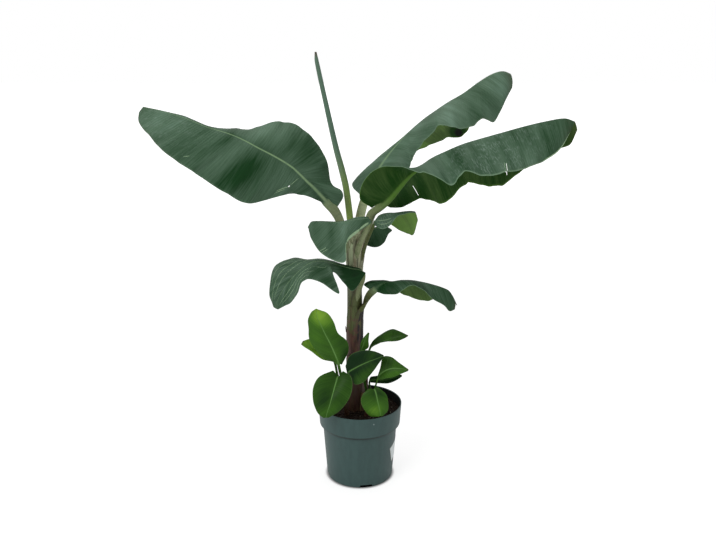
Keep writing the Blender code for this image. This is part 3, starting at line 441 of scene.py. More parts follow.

# Dark places on the stem, partly painted shade on its right front and partly dark marks: height, turn,
# reach up and round, and strength. Turns are in degrees, with 0 to the right and 270 to the front.
STEM_MARKS = (
    (502, 302, 12, 6, 1.3), (480, 300, 22, 6, 1.5), (452, 297, 20, 7, 1.4), (428, 293, 14, 8, 1.0),
    (489, 326, 13, 14, 1.6), (455, 334, 30, 12, 1.4), (420, 330, 36, 16, 1.3), (392, 318, 30, 18, 1.0),
    (414, 276, 12, 10, 0.5), (520, 322, 30, 8, 0.5), (345, 286, 24, 30, 0.35), (300, 262, 40, 30, 0.3),
    (640, 287, 34, 5, 0.7), (600, 292, 30, 4, 0.6), (560, 262, 18, 10, 0.3), (388, 250, 14, 9, 0.4),
)

# Thin sheets round the stem: rows of height, first and last turn in degrees, and distance from the stem
SHEATHS = {
    "sheath_top": ((624, 150, 262, -0.4), (650, 152, 262, 1.6), (676, 156, 264, 2.6), (688, 160, 262, 3.0),
                   (700, 196, 266, 3.2)),
    "sheath_top_right": ((600, 268, 352, -0.4), (640, 270, 356, 1.4), (672, 274, 360, 2.4), (690, 284, 362, 3.6),
                         (704, 300, 366, 4.6)),
    "sheath_middle": ((452, 196, 322, -0.4), (480, 200, 316, 1.0), (505, 210, 300, 1.6), (522, 226, 284, 1.8)),
    "sheath_papery": ((318, 186, 330, -0.4), (340, 188, 326, 1.2), (356, 192, 322, 1.9), (366, 206, 300, 2.6),
                      (376, 214, 262, 3.4)),
}
# The same for the dry, papery ones
SHEATH_DRY = {
    "sheath_dry_edge": ((628, 322, 342, -0.4), (650, 322, 350, 3.4), (676, 324, 352, 4.6), (700, 326, 350, 5.4),
                        (714, 330, 346, 6.0)),
    "sheath_dry_flap": ((437, 180, 199, -0.4), (445, 178, 200, 1.0), (453, 176, 197, 1.8)),
    "sheath_dry_foot": ((205, 288, 330, -0.4), (225, 290, 328, 1.2), (248, 296, 322, 1.9), (262, 302, 318, 2.6)),
}

# Edges of the sheaths wrapped in the stem: from and to height, turn in degrees, lean in radians a
# millimetre, step
STEM_SEAMS = (
    (150, 420, 300, 0.0012, 1.3), (150, 350, 205, -0.0010, 1.0), (230, 600, 100, 0.0016, 1.2),
    (300, 560, 20, -0.0014, 1.0), (360, 720, 318, 0.0006, 1.3), (420, 727, 232, -0.0009, 1.1),
    (560, 727, 275, 0.0008, 1.2), (560, 727, 60, -0.0006, 1.0), (590, 727, 160, 0.0005, 1.0),
)

# Wrapped feet of the leaf stalks: leaf, height where the foot starts, half-angle round the stem in degrees,
# how warm its colour is and how dark
STALK_FEET = (
    ("leaf_top_left", 596, 80, 0.0, 0.0), ("leaf_top_back", 606, 82, 0.2, 0.0),
    ("leaf_top_right", 612, 78, 0.4, 0.1), ("leaf_mid_left", 560, 50, 0.35, 0.0),
    ("leaf_mid_right", 566, 40, 0.3, 0.5), ("leaf_mid_back", 540, 52, 0.3, 0.3),
    ("leaf_low_left", 470, 62, 0.3, 0.0), ("leaf_low_right", 430, 60, 0.6, 0.1),
)

# Pot: heights and radii of its tapered body, height of its floor, and the outer radii that its inner wall
# follows, at its foot, at the body's top and in the collar
BODY_HEIGHTS, BODY_RADII = (6.0, 161.5), (95.5, 107.0)
POT_FLOOR = 8.0
INNER_FOOT, INNER_TOP, COLLAR = 95.0, 107.0, 116.0

# Heights where the pot's inside and its slots get painted shade and soil streaks, and how far out in the slots
SHADED_INSIDE, SHADED_SLOTS, SHADED_SLOT_RADIUS = (8.5, 221.0), (0.1, 9.2), 94.4

# Rubbed spot on the rim, in metres
CHIP = (0.0388, -0.1125, 0.2075)

# Foot slots and drain holes of the pot: how many, distance from the middle, and half-sizes of the cutter
FOOT_SLOTS, SLOT_RADIUS, SLOT_SIZE = 4, 91.0, (11.0, 18.0, 8.4)
DRAINS, DRAIN_RADIUS, DRAIN_SIZE = 6, 62.0, (6.0, 6.0, 6.0)
FIRST_SLOT = math.radians(-79.0)

# Sticker: width and drop, tilt, corner radius, how far its face stands off the pot's body, and the turn and
# height of its upper left corner
STICKER, STICKER_TILT, STICKER_CORNER, STICKER_LIFT = (60.0, 52.0), math.radians(18.0), 2.5, 0.55
STICKER_TURN, STICKER_TOP = math.radians(-33.5), 104.0

# Radius and height of the soil's plug, from its foot to below its top
SOIL_WALL = ((91.5, 11.0), (104.0, 163.5), (112.6, 167.5))

# The soil's top: the radius where its mound ends, the height there and how much higher its middle is, then
# its lumps, as lumps a millimetre, place in the noise and height
SOIL_EDGE, SOIL_LEVEL, SOIL_MOUND = 120.0, 199.0, 5.0
SOIL_LUMPS = ((0.03, 0.0, 3.0), (0.16, 4.0, 1.9), (0.5, 9.0, 1.0))

# Loose bits on the soil: how far out they lie and may reach, where their random numbers start, then their
# number, smallest and largest half-size, and how many times as long they may be
BITS_RADIUS, BITS_REACH, BITS_SEED = 112, 114.5, 31
SOIL_BITS = {
    "soil_crumbs": (900, 1.0, 3.4, 1.3), "soil_bark": (170, 1.0, 2.4, 4.5), "soil_specks": (26, 0.9, 1.9, 1.2),
}

# Studio, in metres and degrees: how far the floor reaches, the lights' places and sizes, what they aim at,
# and the camera
FLOOR_REACH = 25.0
LIGHTS = {
    "key_light": ((-1.5, -1.9, 2.6), 1.6),
    "fill_light": ((2.0, -1.2, 1.5), 1.8),
    "top_light": ((0.2, 0.3, 3.0), 2.0),
}
AIM = Vector((0.0, 0.0, 0.65))
CAMERA_PLACE, CAMERA_PITCH, CAMERA_TURN, CAMERA_LENS = (0.0, -2.1, 1.2128), 15.782, 0.1456, 39.816


def swatch(label, words, value):
    """A colour setting."""
    return FloatVectorProperty(
        name=label, description=words, default=value, subtype="COLOR_GAMMA", size=3, min=0.0, max=1.0
    )


def length(label, words, value):
    """A length setting, in metres."""
    return FloatProperty(name=label, description=words, default=value, min=0.0, unit="LENGTH", precision=5)


def power(label, words, value):
    """A light's power setting."""
    return FloatProperty(name=label, description=words, default=value, min=0.0, unit="POWER")


class LeafLooks(bpy.types.PropertyGroup):
    """Sizes and colours of the leaves."""

    blade: length("Blade", "Thickness of a leaf blade", 0.0008)
    vein_height: length("Vein height", "How far a side vein stands up on a large leaf", 0.00028)
    wave_height: length("Wave height", "How far the margin of a large leaf waves", 0.0026)
    # The dark and bright ends of each side's tone carry painted light and shade as well as the leaf's own colour
    upper: swatch("Upper side", "Upper side of a grown leaf", (0.34, 0.44, 0.36))
    upper_dark: swatch("Upper side, dark", "Dark bands on a grown leaf", (0.052, 0.205, 0.075))
    # Pale waxy bloom, which also stands in for the painted sheen of soft reflections on the upper side
    bloom: swatch("Bloom", "Pale waxy cast on a grown leaf", (0.385, 0.495, 0.435))
    under: swatch("Underside", "Underside of a grown leaf", (0.34, 0.44, 0.24))
    under_dark: swatch("Underside, dark", "Shaded underside of a grown leaf", (0.078, 0.228, 0.033))
    under_bright: swatch("Underside, bright", "Underside with light coming through", (0.42, 0.57, 0.27))
    # Painted deep shade: a nearly black colour for an underside seen deep inside the shade of its own leaf
    scorched: swatch("Deep_shade", "Nearly black spots on a grown leaf", (0.05, 0.07, 0.04))
    vein: swatch("Veins", "Side veins of a grown leaf", (0.44, 0.55, 0.44))
    rib: swatch("Midrib", "Midrib of a grown leaf", (0.50, 0.61, 0.45))
    keel: swatch("Midrib below", "Midrib on the underside", (0.30, 0.44, 0.17))
    stalk_pale: swatch("Leaf stalk, pale", "Pale stalk of a grown leaf", (0.62, 0.66, 0.51))
    stalk_olive: swatch("Leaf stalk, olive", "Olive stalk of a grown leaf", (0.26, 0.28, 0.12))
    young: swatch("Young leaf", "Upper side of a young leaf", (0.255, 0.43, 0.105))
    young_dark: swatch("Young leaf, dark", "Dark parts of a young leaf", (0.045, 0.155, 0.045))
    young_bright: swatch("Young leaf, bright", "Brightest parts of a young leaf", (0.50, 0.66, 0.21))
    young_rib: swatch("Young midrib", "Midrib of a young leaf", (0.37, 0.53, 0.27))
    dry: swatch("Dry edge", "Dried tips and edges", (0.27, 0.17, 0.10))
    residue: swatch("Residue", "Dried water marks and dust", (0.60, 0.67, 0.63))
    scar: swatch("Scars", "Pale scars and folded edges", (0.62, 0.72, 0.60))


class StemLooks(bpy.types.PropertyGroup):
    """Colours of the stem, the side shoots and the soil."""

    middle: swatch("Stem", "Middle of the stem", (0.265, 0.32, 0.15))
    top: swatch("Stem, top", "Fresh sheaths at the top of the stem", (0.74, 0.80, 0.64))
    warm: swatch("Stem, warm", "Dull pink-brown stripes near the top", (0.64, 0.57, 0.48))
    maroon: swatch("Stem, maroon", "Blotches low on the stem", (0.345, 0.20, 0.185))
    foot: swatch("Stem, foot", "Red-brown foot of the stem", (0.225, 0.095, 0.085))
    seam: swatch("Seams", "Dark edges between the sheaths", (0.20, 0.16, 0.10))
    sheath_edge: swatch("Sheath edges", "Pale edges of the fresh sheaths", (0.66, 0.65, 0.52))
    # Near-black of the stem's dark places: painted shade and dark marks
    bruise: swatch("Bruises", "Bruised places on the stem", (0.09, 0.06, 0.07))
    paper: swatch("Dry sheath", "Papery dry sheaths", (0.50, 0.42, 0.29))
    spear_low: swatch("New leaf, foot", "Rolled new leaf near the stem", (0.50, 0.60, 0.275))
    spear_high: swatch("New leaf, top", "Rolled new leaf near its tip", (0.32, 0.43, 0.355))
    soil: swatch("Soil", "Potting soil", (0.030, 0.015, 0.013))
    soil_light: swatch("Soil, light", "Lighter grains of the soil", (0.20, 0.14, 0.11))
    fibre: swatch("Bark", "Bits of bark and root in the soil", (0.20, 0.12, 0.085))
    speck: swatch("Specks", "Pale mineral specks in the soil", (0.72, 0.70, 0.64))
    speck_dark: swatch("Specks, dark", "Darker grains of the specks", (0.55, 0.52, 0.46))


class PotLooks(bpy.types.PropertyGroup):
    """Sizes and colours of the pot and its sticker."""

    steps: IntProperty(name="Facets", description="Facets round the pot", default=160, min=32, max=320)
    wall: length("Wall", "Thickness of the pot's wall", 0.0024)
    plastic: swatch("Plastic", "Pot", (0.222, 0.318, 0.307))
    plastic_dark: swatch("Plastic, dark", "Shaded streaks in the pot's plastic", (0.208, 0.298, 0.290))
    # Painted shade: the inside is given a near-black colour for the shade in it, under the soil's traces
    inside: swatch("Inside", "Inside of the pot, with traces of soil", (0.085, 0.10, 0.09))
    scuff: swatch("Scuffs", "Scuffed edges of the pot", (0.36, 0.44, 0.42))
    chip: swatch("Chip", "Rubbed spot on the rim", (0.62, 0.68, 0.68))
    label: swatch("Sticker", "Bare sticker on the pot", (0.84, 0.87, 0.87))
    label_soiled: swatch("Sticker, soiled", "Soiled edge of the sticker", (0.62, 0.60, 0.55))
    label_thickness: length("Sticker thickness", "Thickness of the sticker", 0.0003)


class StudioLooks(bpy.types.PropertyGroup):
    """Light and floor."""

    floor: swatch("Floor", "Floor of the studio", (0.97, 0.97, 0.97))
    floor_shade: swatch("Floor, shaded", "Darker tone of the floor where it is seen", (0.05, 0.05, 0.05))
    world: FloatProperty(
        name="Surroundings", description="Light of the white surroundings", default=0.58, min=0.0
    )
    key_light: power("Key light", "Soft light above the front left", 37.0)
    fill_light: power("Fill light", "Soft light from the right", 0.8)
    top_light: power("Top light", "Soft light from above", 17.0)


def smooth_curve(knots, values, at):
    """A smooth curve that passes through the values at their knots, read at each number in at."""
    knots, values = np.asarray(knots, float), np.asarray(values, float)
    slopes = np.empty_like(values)
    spans = (knots[2:] - knots[:-2]).reshape((-1,) + (1,) * (values.ndim - 1))
    slopes[1:-1] = (values[2:] - values[:-2]) / spans
    slopes[0] = (values[1] - values[0]) / (knots[1] - knots[0])
    slopes[-1] = (values[-1] - values[-2]) / (knots[-1] - knots[-2])
    at = np.clip(at, knots[0], knots[-1])
    i = np.clip(np.searchsorted(knots, at, side="right") - 1, 0, len(knots) - 2)
    step = knots[i + 1] - knots[i]
    u = (at - knots[i]) / step
    if values.ndim > 1:
        u, step = u[:, None], step[:, None]
    near = (1 + 2 * u) * (1 - u) ** 2 * values[i] + u * (1 - u) ** 2 * step * slopes[i]
    return near + u * u * (3 - 2 * u) * values[i + 1] + u * u * (u - 1) * step * slopes[i + 1]


def read_table(knots, table, at):
    """A table of points, read at any places along its knots."""
    return np.stack([np.interp(at, knots, column) for column in np.transpose(table)], axis=-1)


def route_length(route):
    """Distance travelled at each point of a route."""
    steps = np.linalg.norm(np.diff(np.asarray(route, float), axis=0), axis=1)
    return np.concatenate([[0.0], np.cumsum(steps)])


def unit(vectors):
    """The same directions, each 1 long."""
    return vectors / np.maximum(np.linalg.norm(vectors, axis=-1, keepdims=True), 1e-9)


def ease(value, low, high):
    """0 below low, 1 above high, smooth between."""
    u = np.clip((np.asarray(value, float) - low) / (high - low), 0, 1)
    return u * u * (3 - 2 * u)


def hump(distance, reach):
    """1 at no distance, falling to nothing past the reach."""
    return np.exp(-((distance / reach) ** 2))


def turns_of(sides):
    """Evenly spaced turns round a ring, in radians."""
    return np.arange(sides) * math.tau / sides


def circle(centre, radii, turns):
    """Points round a level ring, whose radius may differ from turn to turn."""
    return np.asarray(centre) + np.stack([np.cos(turns) * radii, np.sin(turns) * radii, 0 * turns], axis=-1)


def add_object(name, data, **settings):
    """Puts a mesh, light or camera in the scene."""
    obj = bpy.data.objects.new(name, data)
    for key, value in settings.items():
        setattr(obj, key, value)
    bpy.context.scene.collection.objects.link(obj)
    return obj


def finish_piece(name, mesh, node, crease):
    """Smooths a mesh up to its creases and lets it ride on the plant's one body, in place of the plain node."""
    mesh.shade_smooth()
    mesh.set_sharp_from_angle(angle=math.radians(crease))
    piece = add_object(name, mesh)
    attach(piece, BODY)
    if node:
        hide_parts(node)


def new_piece(name, points, faces, materials, node="", face_slots=None, fields=None, crease=60.0):
    """A piece from points in millimetres, kept inside the plant's box."""
    low, high = (np.array(corner) for corner in CAD_BOX)
    points = np.clip(np.asarray(points, float).reshape(-1, 3) * MM, low, high)
    mesh = bpy.data.meshes.new(name)
    mesh.from_pydata(points.tolist(), [], [[int(k) for k in face] for face in faces])
    for material in materials:
        mesh.materials.append(material)
    if face_slots is not None:
        mesh.polygons.foreach_set("material_index", np.asarray(face_slots, np.int32))
    for label, values in (fields or {}).items():
        layer = mesh.attributes.new(label, "FLOAT", "POINT")
        layer.data.foreach_set("value", np.asarray(values, np.float32).ravel())
    finish_piece(name, mesh, node, crease)


def rod_piece(name, rings, material, node, fields=None, ends=None, tips=None):
    """A closed rod of rings listed upwards. fields holds values for every point of the rings, and ends those
    that aren't 0 at the two tips."""
    rings, ends = np.array(rings), ends or {}
    tips = rings[[0, -1]].mean(axis=1) if tips is None else tips
    count, sides = rings.shape[:2]
    index = np.arange(count * sides).reshape(count, sides)
    after = np.roll(index, -1, axis=1)
    faces = np.stack([index[:-1], after[:-1], after[1:], index[1:]], axis=-1).reshape(-1, 4).tolist()
    faces += [(count * sides, b, a) for a, b in zip(index[0], after[0])]
    faces += [(count * sides + 1, a, b) for a, b in zip(index[-1], after[-1])]
    fields = {
        label: np.append(np.ravel(value), ends.get(label, (0, 0))) for label, value in (fields or {}).items()
    }
    points = np.concatenate([rings.reshape(-1, 3), tips])
    new_piece(name, points, faces, [material], node, None, fields)


def sheet_faces(kept):
    """Faces of a closed sheet: a grid of points, then the same grid underneath. kept says which cells stay.
    Gives the faces, and 0 for each upper or rim face and 1 for each underside face."""
    rows, columns = kept.shape[0] + 1, kept.shape[1] + 1
    under = rows * columns
    index = np.arange(under).reshape(rows, columns)
    a, b, c, d = index[:-1, :-1], index[:-1, 1:], index[1:, 1:], index[1:, :-1]
    upper = np.stack([a, b, c, d], axis=-1)[kept]
    lower = upper[:, ::-1] + under
    padded = np.pad(kept, 1)
    left, right, before, beyond = padded[1:-1, :-2], padded[1:-1, 2:], padded[:-2, 1:-1], padded[2:, 1:-1]
    walls = []
    for neighbour, start, end in ((left, a, d), (right, c, b), (before, b, a), (beyond, d, c)):
        open_side = kept & ~neighbour
        p, q = start[open_side], end[open_side]
        walls.append(np.stack([p, q, q + under, p + under], axis=-1))
    walls = np.concatenate(walls)
    marks = np.concatenate([np.zeros(len(upper)), np.ones(len(lower)), np.zeros(len(walls))])
    return np.concatenate([upper, lower, walls]), marks


def sheet_piece(
    name, upper, under, materials, slot, node="", fields=None, under_fields=None, kept=None, crease=60.0
):
    """A closed sheet between two grids of points. The underside has the same fields if it has none of its own."""
    rows, columns = np.shape(upper)[:2]
    faces, marks = sheet_faces(np.ones((rows - 1, columns - 1), bool) if kept is None else kept)
    points = np.concatenate([np.reshape(upper, (-1, 3)), np.reshape(under, (-1, 3))])
    values = {
        label: np.concatenate([np.ravel(value), np.ravel((under_fields or fields)[label])])
        for label, value in (fields or {}).items()
    }
    marks = marks if len(materials) > 1 else None
    new_piece(name, points, faces, materials, node, marks, values, crease)


def linear(colour):
    """A screen colour as the light it stands for. A colour with four values is one already."""
    if len(colour) == 4:
        return colour
    return tuple(c / 12.92 if c <= 0.04045 else ((c + 0.055) / 1.055) ** 2.4 for c in colour) + (1.0,)


def dimmed(colour, share):
    """A colour with only a share of its light."""
    return tuple(share * c for c in linear(colour)[:3]) + (1.0,)


class Nodes:
    """Adds and links the nodes of one tree."""

    def __init__(self, tree):
        self.tree = tree

    def add(self, kind, inputs=(), **settings):
        node = self.tree.nodes.new(kind)
        for key, value in settings.items():
            setattr(node, key, value)
        for key, value in dict(inputs).items():
            self.set(node.inputs[key], value)
        return node

    def set(self, socket, value):
        if isinstance(value, bpy.types.NodeSocket):
            self.tree.links.new(value, socket)
        else:
            socket.default_value = linear(value) if socket.type == "RGBA" else value

    def math(self, operation, *values, clamp=False):
        return self.add("ShaderNodeMath", enumerate(values), operation=operation, use_clamp=clamp).outputs[0]

    def times(self, a, b, clamp=False):
        return self.math("MULTIPLY", a, b, clamp=clamp)

    def plus(self, a, b, clamp=False):
        return self.math("ADD", a, b, clamp=clamp)

    def scaled(self, value, share, start):
        return self.math("MULTIPLY_ADD", value, share, start)

    def around(self, value, share, start):
        """A value from 0 to 1 as a swing of up to half the share to either side of the start."""
        return self.scaled(self.math("SUBTRACT", value, 0.5), share, start)

    def mix(self, factor, a, b):
        inputs = {"Factor": factor, 6: a, 7: b}
        return self.add("ShaderNodeMix", inputs, data_type="RGBA", clamp_factor=True).outputs[2]

    def span(self, value, low, high, to_low=0.0, to_high=1.0):
        """Smoothly maps low..high to to_low..to_high."""
        inputs = {"Value": value, "From Min": low, "From Max": high, "To Min": to_low, "To Max": to_high}
        return self.add("ShaderNodeMapRange", inputs, interpolation_type="SMOOTHSTEP").outputs[0]

    def field(self, name):
        return self.add("ShaderNodeAttribute", attribute_name=name).outputs["Fac"]

    def place(self):
        return self.add("ShaderNodeNewGeometry").outputs["Position"]

    def parts(self):
        return self.add("ShaderNodeSeparateXYZ", {"Vector": self.place()}).outputs

    def vector(self, x, y, z=0.0):
        return self.add("ShaderNodeCombineXYZ", {"X": x, "Y": y, "Z": z}).outputs[0]

    def noise(self, vector, scale=1.0, detail=3.0, roughness=0.5):
        inputs = {"Vector": vector, "Scale": scale, "Detail": detail, "Roughness": roughness}
        return self.add("ShaderNodeTexNoise", inputs).outputs["Fac"]

    def group(self, maker, **inputs):
        """The outputs of a shared node group, made once by the function of the same name."""
        tree = bpy.data.node_groups.get(maker.__name__) or maker()
        return self.add("ShaderNodeGroup", inputs, node_tree=tree).outputs

    def grain(self, size, stretch=1.0):
        return self.group(fine_grain, Size=size, Stretch=stretch)

    def bump(self, height, distance, strength=1.0):
        inputs = {"Height": height, "Distance": distance, "Strength": strength}
        return self.add("ShaderNodeBump", inputs).outputs[0]

    def finish(self, colour, roughness, height, distance, strength=1.0):
        """Gives the material's shader its colour, roughness and bump."""
        shader = self.tree.nodes["Principled BSDF"].inputs
        self.set(shader["Base Color"], colour)
        self.set(shader["Roughness"], roughness)
        self.set(shader["Normal"], self.bump(height, distance, strength))


def new_group(name, inputs, outputs):
    """A node group with float sockets."""
    tree = bpy.data.node_groups.new(name, "ShaderNodeTree")
    for label in inputs:
        tree.interface.new_socket(label, in_out="INPUT", socket_type="NodeSocketFloat")
    for label in outputs:
        tree.interface.new_socket(label, in_out="OUTPUT", socket_type="NodeSocketFloat")
    n = Nodes(tree)
    return tree, n, n.add("NodeGroupInput").outputs, n.add("NodeGroupOutput").inputs


def stretched(n, source, along, out, seed=0.0):
    """A place on a blade, with its distances along and out from the midrib scaled."""
    return n.vector(n.times(source["Along"], along), n.times(source["Out"], out), seed)


def side_veins():
    """Thin side veins that wander a little; some show more than others."""
    tree, n, source, target = new_group("side_veins", ("Along", "Out", "Spacing"), ("Line",))
    drift = n.noise(stretched(n, source, 30.0, 12.0))
    phase = n.around(drift, 0.25, n.math("DIVIDE", source["Along"], source["Spacing"]))
    swell = n.math("COSINE", n.times(phase, math.tau))
    line = n.math("POWER", n.scaled(swell, 0.5, 0.5), 5.0)
    shown = n.noise(stretched(n, source, 140.0, 8.0, 7.0), detail=2.0)
    n.set(target["Line"], n.times(line, n.span(shown, 0.35, 0.65, 0.15, 1.0)))
    return tree


def blade_streaks():
    """Soft bands and streaks that follow the side veins: Band is widest, then Broad, then Fine."""
    tree, n, source, target = new_group("blade_streaks", ("Along", "Out", "Seed"), ("Band", "Broad", "Fine"))
    for label, along, out, detail in STREAKS:
        streak = n.noise(stretched(n, source, along, out, source["Seed"]), detail=detail)
        n.set(target[label], n.span(streak, 0.28, 0.72, -1.0, 1.0))
    return tree


def leaf_residue():
    """Dried water marks and dust: broken pale flecks that lie across the veins."""
    tree, n, source, target = new_group("leaf_residue", ("Along", "Out", "Amount"), ("Mask",))
    flecks = n.span(n.noise(stretched(n, source, 300.0, 90.0, 3.0), 1.0, 4.0, 0.65), 0.44, 0.68)
    clouds = n.span(n.noise(stretched(n, source, 34.0, 40.0, 5.0)), 0.38, 0.62)
    n.set(target["Mask"], n.times(n.times(flecks, clouds), source["Amount"], clamp=True))
    return tree


def fine_grain():
    """Grain in the object's own space, for plastic, paper, bark and skin, and broad clouds of the same kind."""
    tree, n, source, target = new_group("fine_grain", ("Size", "Stretch"), ("Grain", "Cloud"))
    parts = n.parts()
    shape = n.vector(parts["X"], parts["Y"], n.math("DIVIDE", parts["Z"], source["Stretch"]))
    n.set(target["Grain"], n.noise(shape, n.math("DIVIDE", 1.0, source["Size"]), 4.0, 0.6))
    n.set(target["Cloud"], n.noise(shape, n.math("DIVIDE", 0.06, source["Size"])))
    return tree


def new_material(name, specular):
    """A material and a helper for its nodes."""
    material = bpy.data.materials.new(name)
    material.use_nodes = True
    material.node_tree.nodes["Principled BSDF"].inputs["Specular IOR Level"].default_value = specular
    return material, Nodes(material.node_tree)


def once(maker):
    """The material that a function of the same name makes, made the first time that it is asked for."""
    return bpy.data.materials.get(maker.__name__) or maker()


def leaf_material(name, colours, kind, shine, specular):
    """A blade's skin. colours holds the light, dark, bright, vein, midrib, pale stalk and olive stalk colours."""
    if name in bpy.data.materials:
        return bpy.data.materials[name]
    looks = bpy.context.scene.plant_leaves
    light, dark, bright, vein, rib, pale, olive = colours
    material, n = new_material(name, specular)
    along, out = n.field("along"), n.field("out")
    line = n.group(side_veins, Along=along, Out=out, Spacing=FINE[kind]["spacing"] * MM)["Line"]
    streaks = n.group(blade_streaks, Along=along, Out=out, Seed=n.field("seed"))
    residue = n.group(leaf_residue, Along=along, Out=out, Amount=n.field("residue"))["Mask"]
    # A leaf's tone, read from its fields, holds painted light and shade as well as its own tone
    tone = n.scaled(n.field("tint"), 0.42, 0.5)
    for label, share in (("Band", 0.19), ("Broad", 0.07), ("Fine", 0.12)):
        tone = n.scaled(streaks[label], share * FINE[kind]["streaks"], tone)
    colour = n.mix(tone, dark, light)
    # High tone turns to the bright colour, painted light: sheen above, light coming through below
    colour = n.mix(n.span(tone, 0.7, 1.4, 0.0, 0.8), colour, bright)
    # Tone far below dark turns to the nearly black painted deep shade
    colour = n.mix(n.span(tone, -0.5, -1.4), colour, looks.scorched)
    shown = n.times(n.times(line, n.field("veins")), n.span(tone, 0.0, 0.7, 0.02, 0.22))
    colour = n.mix(shown, colour, vein)
    colour = n.mix(n.times(n.span(n.field("edge"), 0.955, 1.0), n.field("rim")), colour, vein)
    colour = n.mix(n.times(residue, 0.4), colour, looks.residue)
    stalk_tone = n.scaled(streaks["Fine"], 0.08, n.scaled(n.field("stalk_tone"), 0.5, 0.5))
    rib_tone = n.mix(n.field("stalk"), rib, n.mix(stalk_tone, olive, pale))
    rib_tone = n.mix(n.span(streaks["Broad"], 0.0, 1.0, 0.0, 0.3), rib_tone, light)
    colour = n.mix(n.field("rib"), colour, rib_tone)
    worn = n.span(n.noise(n.place(), 160.0), 0.40, 0.62)
    brown = n.times(n.field("brown"), n.scaled(worn, 0.6, 0.4), clamp=True)
    colour = n.mix(brown, colour, looks.dry)
    gloss = n.plus(n.scaled(streaks["Fine"], 0.05, shine), n.times(n.plus(residue, brown), 0.25), clamp=True)
    n.finish(colour, gloss, n.scaled(streaks["Fine"], 0.2, line), 0.0001 * FINE[kind]["veins"])
    return material


def leaf_materials(kind):
    """Upper side and underside for one kind of leaf."""
    looks = bpy.context.scene.plant_leaves
    if kind == "small":
        # A young leaf's stalk has the colours of its blade
        skin = (looks.young, looks.young_dark, looks.young_bright, looks.young_rib, looks.young_rib)
        skin += skin[:2]
        return [
            leaf_material("young_upper", skin, kind, 0.42, 0.10),
            leaf_material("young_under", skin, kind, 0.50, 0.08),
        ]
    stalk = (looks.stalk_pale, looks.stalk_olive)
    # The upper side's bright colour is its bloom together with painted sheen
    upper = (looks.upper, looks.upper_dark, looks.bloom, looks.vein, looks.rib, *stalk)
    under = (looks.under, looks.under_dark, looks.under_bright, looks.keel, looks.keel, *stalk)
    return [
        leaf_material("leaf_upper_" + kind, upper, kind, 0.45, 0.12),
        leaf_material("leaf_under_" + kind, under, kind, 0.60, 0.08),
    ]


def leaf_tables(leaf):
    """Closely spaced values along a leaf: midrib, margins, directions and rib half-width, with their knots."""
    petiole = np.reshape(leaf["petiole"], (-1, 3)).astype(float)
    rows = np.reshape(leaf["sections"], (-1, 3, 3)).astype(float)
    midrib = np.vstack([petiole, rows[:, 0]])
    travelled = route_length(midrib)
    total = travelled[-1]
    knots = travelled / total
    blade_knots = knots[len(petiole):]
    foot = blade_knots[0]
    at = np.linspace(0, 1, TABLE_STEPS)
    middle = smooth_curve(knots, midrib, at)
    forward = unit(np.gradient(middle, axis=0))
    left, right = (smooth_curve(blade_knots, rows[:, k], np.maximum(at, foot)) for k in (1, 2))
    to_left, to_right = (
        (edge - middle) / np.maximum(np.linalg.norm(edge - middle, axis=1), 4.0)[:, None]
        for edge in (left, right)
    )
    across = unit(to_right - to_left)
    in_blade = at >= foot
    petiole_side = unit(np.cross(forward[0], (0, 0, 1)))
    share = np.clip(at / foot, 0, 1)[:, None]
    side = np.where(in_blade[:, None], across, petiole_side * (1 - share) + across[np.argmax(in_blade)] * share)
    for _ in range(SMOOTHING):
        side[1:-1] = unit(0.25 * side[:-2] + 0.5 * side[1:-1] + 0.25 * side[2:])
    side = unit(side - (side * forward).sum(axis=1, keepdims=True) * forward)
    rib = smooth_curve((0, foot, foot + 0.25 * (1 - foot), 1), RIBS[leaf["size"]], at)
    rib = rib * (0.35 + 0.65 * ease(at * total, 0, FINE[leaf["size"]]["sunk"]))
    rib = rib * (1 + (leaf.get("stalk", 1.0) - 1) * (1 - ease(at, foot, foot + 0.1)))
    if leaf["size"] != "small":
        inward = unit(STEM[8, :3] * (1, 1, 0) - middle[0] * (1, 1, 0))
        middle = middle + STALK_BEND * inward * (1 - ease(at * total, 0, STALK_BEND_REACH))[:, None]
    tables = dict(middle=middle, forward=forward, side=side, up=np.cross(side, forward), left=left, right=right)
    return at, tables, rib, foot, total


